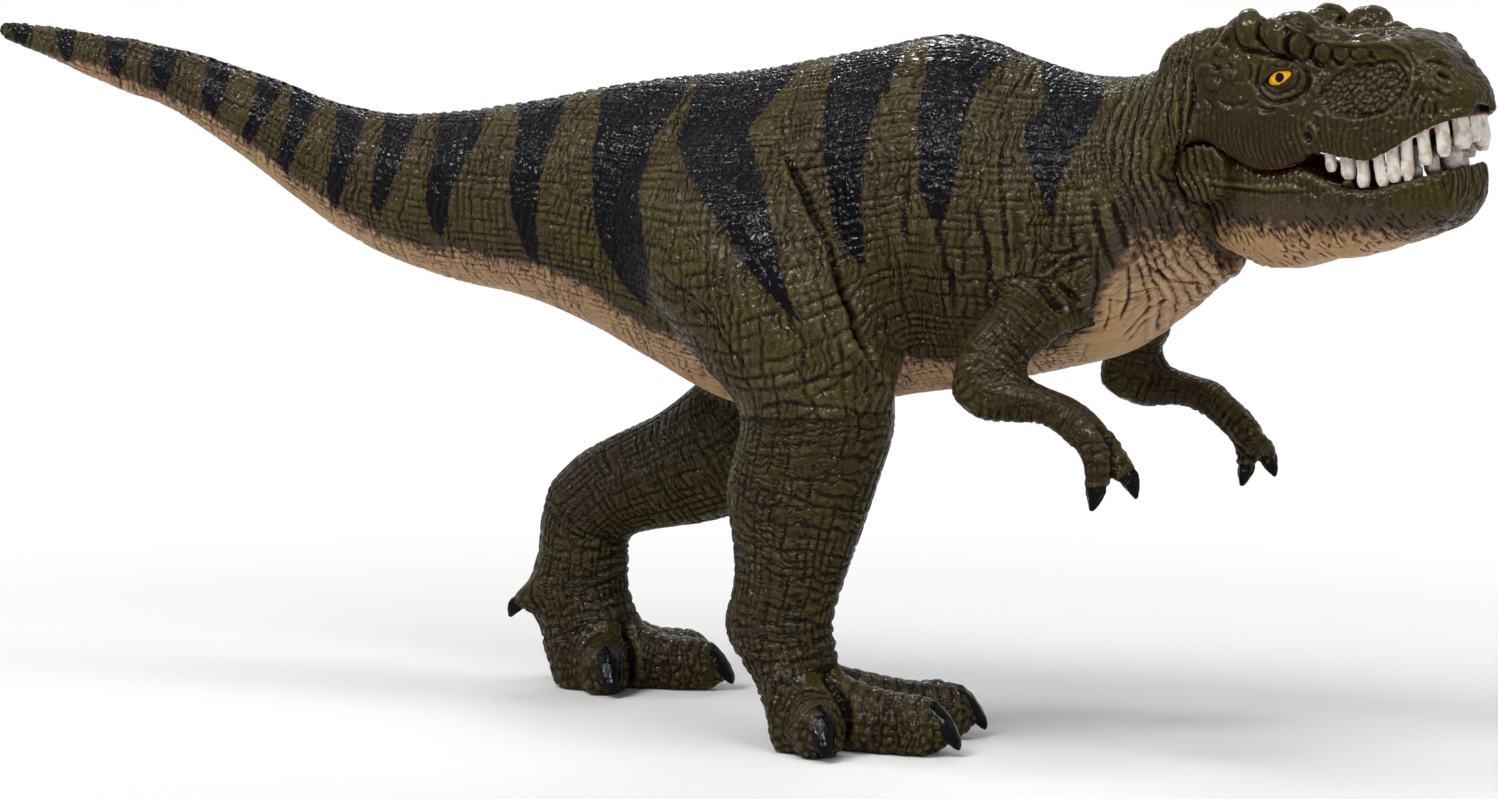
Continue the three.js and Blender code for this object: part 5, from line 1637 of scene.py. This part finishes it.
lobe_phase = (u * 0.9 + z * 0.25) / LOBE_FOLD_SPACING + 0.5 * noise(jaw_places.head / 4, 87)
lobe_folds = np.sqrt(np.abs(lobe_phase - np.round(lobe_phase)) * 2) - 0.7
jaw_shape += lobe * (LOBE_FOLDS * lobe_folds - LOBE_SINK)
jaw.push(jaw_shape)
jaw_final = Places(jaw.points, jaw.normals())
tan_row = np.interp(jaw_final.pixels[:, 0], *np.array(JAW_TAN_LINE, float).T)
jaw_belly = (jaw_final.pixels[:, 1] - tan_row) / JAW_BLEND
jaw_belly = np.where(jaw_final.facing < -0.3, UNDERSIDE_TAN, jaw_belly)
# The jaw's brown wash in grooves and bends is partly painted shade, and the skull's darkening is added to it
jaw_values = {
    "wash": jaw.wash(jaw_shape, JAW_WASH_AND_SHADE) + SKULL_SHADE,
    "stripe": np.full(len(u), OUTSIDE),
    "belly": jaw_belly * outer + NO_BELLY * inner,
    "mouth": inner,
    "skull": np.full(len(u), JAW_PLAINNESS),
    "flow": jaw_final.head,
    "girth": v,
}
mesh = solid_mesh("lower_jaw_skin", jaw.points, jaw.faces, attributes=jaw_values)
piece("lower_jaw_skin", mesh, body_skin, "jaw", "jaw_skin", "lower_jaw")

# Teeth

# Sizes in millimetres; the fullness and the wear are shares of a tooth's width and length
GUM_RADIUS = 0.8
GUM_SIDES = 8
TOOTH_STEPS = 7
TOOTH_SIDES = 12
TOOTH_VOXEL = 0.17
TOOTH_SMOOTHING = 3
TOOTH_DEPTH = 2.1
TOOTH_FULLNESS = 0.97
WIDEST_TOOTH = 2.8
TOOTH_WASH_AND_SHADE_BEND = 0.016
TOOTH_LEAN = 0.13
WEAR_FROM = 0.85
WEAR_DEPTH = 0.19
TOOTH_DENTS = 0.06
TOOTH_BENDS = 0.14
# Teeth by the photograph: pixel across, pixel row of the tip, and width in pixels
UPPER_TEETH = [(1328.5, 172, 10), (1345.5, 180, 13), (1362, 187, 12), (1377, 186, 12.5), (1392, 182, 13),
               (1407, 181, 12), (1422, 165, 13.5), (1441, 157, 15), (1459.5, 149, 15), (1476, 142, 11)]
LOWER_TEETH = [(1349, 180, 9), (1367, 185, 8), (1384, 184, 9), (1399, 181, 9), (1418, 166, 11),
               (1436, 154, 12), (1454, 149, 11), (1469, 144, 11)]


def row_line(lip, inset, lift, first, last):
    """The line that a row of teeth stands on, along the near side to the middle of the snout."""
    share = np.sin(np.linspace(0, math.pi / 2, 60))
    forward = first + (last - first) * share
    half = np.maximum(np.interp(forward, lip[:, 0], lip[:, 1]) - inset, 1.6)
    height = np.interp(forward, lip[:, 0], lip[:, 2]) + lift
    near = np.stack([forward, -half, height], 1)
    front = np.array([[last + 0.5, 0, height[-1]]])
    return np.vstack([near, front])


def tooth_rings(root, tip, run, width, number):
    """A blunt tooth as rings of points from its root to its worn tip, in the head's frame."""
    chance = np.random.default_rng(number)
    out = np.cross(run, [0, 0, 1])
    lean = chance.normal(0, TOOTH_LEAN, 2)
    rings = []
    for step in range(TOOTH_STEPS + 1):
        share = step / TOOTH_STEPS
        past = max(0.0, share - WEAR_FROM) / WEAR_DEPTH
        worn = math.sqrt(max(0.0, 1 - past ** 2))
        size = (0.9 + 0.1 * share) * worn
        middle = root + (tip - root) * share + run * lean[0] * share * 2 + out * lean[1] * share
        angles = np.linspace(0, 2 * math.pi, TOOTH_SIDES, endpoint=False)
        square = 1 / (np.abs(np.cos(angles)) ** 4 + np.abs(np.sin(angles)) ** 4) ** (1 / 4)
        across = np.outer(np.cos(angles) * square * width / 2 * size, run)
        rings.append(middle + across + np.outer(np.sin(angles) * square * TOOTH_DEPTH / 2 * size, out))
    return rings


def closed_rings(rings):
    """The faces of a tube through rings, closed at both ends."""
    sides = len(rings[0])
    points = list(np.concatenate(rings))
    faces = []
    for ring in range(len(rings) - 1):
        for side in range(sides):
            a = ring * sides + side
            b = ring * sides + (side + 1) % sides
            faces.append([a, b, b + sides, a + sides])
    faces.append(list(range(sides - 1, -1, -1)))
    faces.append([(len(rings) - 1) * sides + side for side in range(sides)])
    return points, faces


def tooth_row(line, teeth, root_shift, seed):
    """One row of teeth on both sides, standing in a gum."""
    pixels = in_photo(from_head(line))
    order = np.arange(len(line))
    points = []
    faces = []

    def take(rings):
        more, more_faces = closed_rings(rings)
        start = len(points)
        points.extend(more)
        faces.extend([[start + corner for corner in face] for face in more_faces])

    for number, (across, tip_row, width) in enumerate(teeth):
        at = np.interp(across, pixels[:, 0], order)
        root, ahead = [np.array([np.interp(at + more, order, line[:, axis]) for axis in range(3)])
                       for more in (0, 1)]
        if number == len(teeth) - 1:
            ahead = root + line[-1] - line[-2]
        run = ahead - root
        run[2] = 0
        run /= np.linalg.norm(run)
        near = in_photo(from_head(np.stack([root, root + run, root + [0, 0, 1]])))
        (root_column, root_row), (next_column, _), (_, raised_row) = near
        tip = root + np.array([0, 0, (root_row - tip_row) / (root_row - raised_row)])
        wide = min(width * TOOTH_FULLNESS / abs(next_column - root_column), WIDEST_TOOTH)
        root = root + np.array([0, 0, root_shift])
        for side in (-1, 1):
            mirror = np.array([1, -side, 1])
            take(tooth_rings(root * mirror, tip * mirror, run * mirror, wide, seed + number * 2 + side))
    gum = np.vstack([line, (line * [1, -1, 1])[-2::-1]])
    angles = np.linspace(0, 2 * math.pi, GUM_SIDES, endpoint=False)
    rings = []
    for number, place in enumerate(gum):
        run = gum[min(len(gum) - 1, number + 1)] - gum[max(0, number - 1)]
        out = np.cross(run / np.linalg.norm(run), [0, 0, 1])
        ring = place + np.outer(np.cos(angles) * GUM_RADIUS, out)
        rings.append(ring + np.outer(np.sin(angles) * GUM_RADIUS, [0, 0, 1]))
    take(rings)
    row = smoothed(*remeshed(np.array(points), faces, TOOTH_VOXEL), TOOTH_SMOOTHING)
    row.push(TOOTH_DENTS * noise(row.points / 0.9, seed) + TOOTH_BENDS * noise(row.points / 1.8, seed + 1))
    gum_line = np.interp(row.points[:, 0], line[:, 0], line[:, 2])
    return row, gum_line


def teeth_piece(name, row, gum, body, node):
    # The bends between teeth get the brown wash, which is partly painted shade
    values = {"gum": gum, "flow": row.points, "wash": np.clip(row.bend(3) / TOOTH_WASH_AND_SHADE_BEND, 0, 1)}
    mesh = solid_mesh(name, from_head(row.points), row.faces, attributes=values)
    piece(name, mesh, teeth_paint, body, "teeth", node)


upper_line = row_line(UPPER_LIP, inset=2.0, lift=0.9, first=19.4, last=39.8)
row, level = tooth_row(upper_line, UPPER_TEETH, root_shift=1.4, seed=300)
teeth_piece("upper_tooth_row", row, ease(row.points[:, 2] - level, -1.3, 0.1), "figure", "upper_teeth")
lower_line = row_line(LOWER_LIP, inset=3.7, lift=-0.9, first=19.4, last=36.2)
row, level = tooth_row(lower_line, LOWER_TEETH, root_shift=-0.3, seed=400)
# The lower row, behind the upper one, is darkened farther up from its root: partly root stain, partly painted
# shade
teeth_piece("lower_tooth_row", row, ease(level - row.points[:, 2], -2.8, 0.1), "jaw", "lower_teeth")

# Tongue, eyes and claws

TONGUE_VOXEL = 0.4
TONGUE_SMOOTHING = 8
TONGUE_GRAIN = 0.1
TONGUE_GROOVE = 0.35
tongue = fine_node("tongue", 0.0, TONGUE_VOXEL, TONGUE_SMOOTHING)
local = to_head(tongue.points)
groove = bell(local[:, 1], 0.5) * ease(tongue.normals() @ head_axes[:, 2], 0.2, 0.7)
tongue.push(TONGUE_GRAIN * (pebbles(local / 0.7, 91) - 0.5) - TONGUE_GROOVE * groove)
mesh = solid_mesh("tongue_flesh", tongue.points, tongue.faces, attributes={"flow": local})
piece("tongue_flesh", mesh, tongue_paint, "jaw", "tongue", "tongue")

CORNEA = 0.1
CORNEA_WIDTH = 1.1
EYE_SEGMENTS = 56
EYE_RINGS = 36


def from_lowest(face):
    """The same face told from its lowest corner on, so that every run lists the faces alike."""
    first = face.index(min(face))
    return face[first:] + face[:first]


for side, name in ((-1, "right_eye"), (1, "left_eye")):
    work = bmesh.new()
    bmesh.ops.create_uvsphere(work, u_segments=EYE_SEGMENTS, v_segments=EYE_RINGS, radius=1)
    ball = bpy.data.meshes.new("work")
    work.to_mesh(ball)
    work.free()
    place = np.array([vert.co for vert in ball.vertices])
    # The sphere's pole looks outwards, and the cornea stands a little proud there
    local = np.stack([place[:, 0], place[:, 2] * side, place[:, 1]], 1) * EYE_SIZE
    proud = bell(np.hypot(local[:, 0], local[:, 2]), CORNEA_WIDTH)
    local[:, 1] += side * CORNEA * proud * (place[:, 2] > 0)
    head_place = local + HEAD_EYE * [1, -side, 1]
    turned, square = eye_frame(head_place)
    made = bpy.data.meshes.new(name + "_ball")
    faces = sorted(from_lowest(tuple(face.vertices)) for face in ball.polygons)
    if side > 0:
        faces = [face[::-1] for face in faces]
    made.from_pydata([Vector(spot * MM) for spot in from_head(head_place)], [], faces)
    made.polygons.foreach_set("use_smooth", np.ones(len(faces), bool))
    layer = made.attributes.new("flow", "FLOAT_VECTOR", "POINT")
    layer.data.foreach_set("vector", np.stack([turned, square, local[:, 1]], 1).astype(np.float32).ravel())
    piece(name + "_ball", made, eye_paint, "figure", "eyes", name)

CLAW_LUMPS = 0.12
TOE_CLAW = {"grow": 0.2, "voxel": 0.3, "rounds": 5}
SMALL_CLAW = {"grow": 0.16, "voxel": 0.17, "rounds": 5}
CLAW_NODES = [f"{side}_{part}" for side in ("right", "left") for part in (
    "outer_claw", "middle_claw", "inner_claw", "spur_claw", "outer_finger_claw", "inner_finger_claw")]
for number, name in enumerate(CLAW_NODES):
    form = SMALL_CLAW if "finger" in name or "spur" in name else TOE_CLAW
    claw = fine_node(name, **form)
    centre = claw.points.mean(0)
    claw.push(CLAW_LUMPS * noise((claw.points - centre) / [3, 1.2, 1.2] + number * 9, 95))
    claw.points[:, 2] = np.maximum(claw.points[:, 2], 0)
    mesh = solid_mesh(name + "_horn", claw.points, claw.faces, attributes={"flow": claw.points - centre})
    piece(name + "_horn", mesh, claw_paint, "figure", "claws", name)

pin = frame["nodes"]["jaw_pin"]
pin.data.materials.clear()
pin.data.materials.append(pin_material())

# Camera, floor and light

lens = bpy.data.cameras.new("photo_camera")
lens.sensor_width = SENSOR
lens.lens = SENSOR * PHOTO_FOCUS / PHOTO_SIZE[0]
lens.clip_start = 0.01
lens.clip_end = 20
camera = bpy.data.objects.new("photo_camera", lens)
camera.location = camera_place * MM
camera.rotation_euler = Vector(-camera_back).to_track_quat("-Z", "Y").to_euler()
bpy.context.scene.collection.objects.link(camera)
bpy.context.scene.camera = camera

FLOOR_SIZE = 6.0
FLOOR_TONE = 0.88
FLOOR_DROP = 0.0002
# From here to here the floor's own look gives way to the white background, in metres from the middle
WHITE_FROM = 0.10
WHITE_BY = 0.34


def shown_rays(tree):
    """1 for rays that see the background: the camera's, and those that gloss or glass sends on."""
    rays = tree.nodes.new("ShaderNodeLightPath")
    total = rays.outputs["Is Camera Ray"]
    for name in ("Is Glossy Ray", "Is Transmission Ray"):
        most = tree.nodes.new("ShaderNodeMath")
        most.operation = "MAXIMUM"
        tree.links.new(total, most.inputs[0])
        tree.links.new(rays.outputs[name], most.inputs[1])
        total = most.outputs[0]
    return total


def floor_material():
    paint = Paint("studio_floor", 0.7, 0.1)
    place = paint.add("TexCoord", {}, "Object")
    tone = paint.mix(paint.noise(place, 6.0), (FLOOR_TONE,) * 3 + (1,), (FLOOR_TONE * 0.99,) * 3 + (1,))
    paint.feed(paint.shader.inputs["Base Color"], tone)
    away = paint.add("VectorMath", {0: place}, "Value", operation="LENGTH")
    white = paint.math("MULTIPLY", paint.ramp(away, WHITE_FROM, WHITE_BY), shown_rays(paint.tree))
    glow = paint.add("Emission", {"Color": (1, 1, 1, 1), "Strength": 1.0})
    both = paint.add("MixShader", {0: white, 1: paint.shader.outputs[0], 2: glow})
    paint.tree.links.new(both, paint.tree.nodes["Material Output"].inputs["Surface"])
    return paint.material


work = bmesh.new()
bmesh.ops.create_grid(work, x_segments=8, y_segments=8, size=FLOOR_SIZE / 2)
floor_mesh = bpy.data.meshes.new("studio_floor")
work.to_mesh(floor_mesh)
work.free()
floor = bpy.data.objects.new("studio_floor", floor_mesh)
floor.location = (0, 0, -FLOOR_DROP)
bpy.context.scene.collection.objects.link(floor)
floor_mesh.materials.append(floor_material())

SOFT_LIGHT = 0.15
world = bpy.data.worlds.new("studio")
world.use_nodes = True
bpy.context.scene.world = world
nodes = world.node_tree.nodes
links = world.node_tree.links
nodes.clear()
blend = nodes.new("ShaderNodeMixShader")
links.new(shown_rays(world.node_tree), blend.inputs[0])
for socket, strength in ((1, SOFT_LIGHT), (2, 1.0)):
    background = nodes.new("ShaderNodeBackground")
    background.inputs["Color"].default_value = (1, 1, 1, 1)
    background.inputs["Strength"].default_value = strength
    links.new(background.outputs[0], blend.inputs[socket])
links.new(blend.outputs[0], nodes.new("ShaderNodeOutputWorld").inputs["Surface"])

# Lamps: place in metres, width and depth in metres, watts
LAMPS = {
    "key": ((-0.3, -0.65, 0.95), 0.55, 0.55, 8.8),
    "top": ((0.1, -0.1, 1.0), 0.5, 0.3, 3.5),
    "front": ((0.9, -0.6, 0.45), 0.4, 0.4, 2.6),
    "back": ((-0.2, 0.8, 0.7), 0.4, 0.3, 1.8),
    "glint_left": ((-0.5, -0.75, 0.75), 0.2, 0.2, 16.0),
    "glint_middle": ((0.0, -0.85, 0.65), 0.15, 0.15, 9.0),
    "glint_top": ((0.1, -0.5, 1.05), 0.15, 0.15, 5.0),
    "glint_right": ((0.6, -0.75, 0.7), 0.2, 0.2, 16.0),
    "glint_behind": ((-0.3, 0.75, 0.9), 0.2, 0.2, 4.0),
}
LAMP_AIM = Vector((0.02, 0, 0.06))
for name, (place, wide, deep, watts) in LAMPS.items():
    lamp = bpy.data.lights.new(name + "_lamp", "AREA")
    lamp.shape = "RECTANGLE"
    lamp.size = wide
    lamp.size_y = deep
    lamp.energy = watts
    holder = bpy.data.objects.new(name + "_lamp", lamp)
    holder.location = place
    holder.rotation_euler = (LAMP_AIM - Vector(place)).to_track_quat("-Z", "Y").to_euler()
    # The broad lamps light the paint, and the small ones give its gloss small bright lights to mirror
    holder.visible_glossy = name.startswith("glint")
    holder.visible_diffuse = not holder.visible_glossy
    bpy.context.scene.collection.objects.link(holder)

bpy.context.scene.view_settings.view_transform = "Standard"
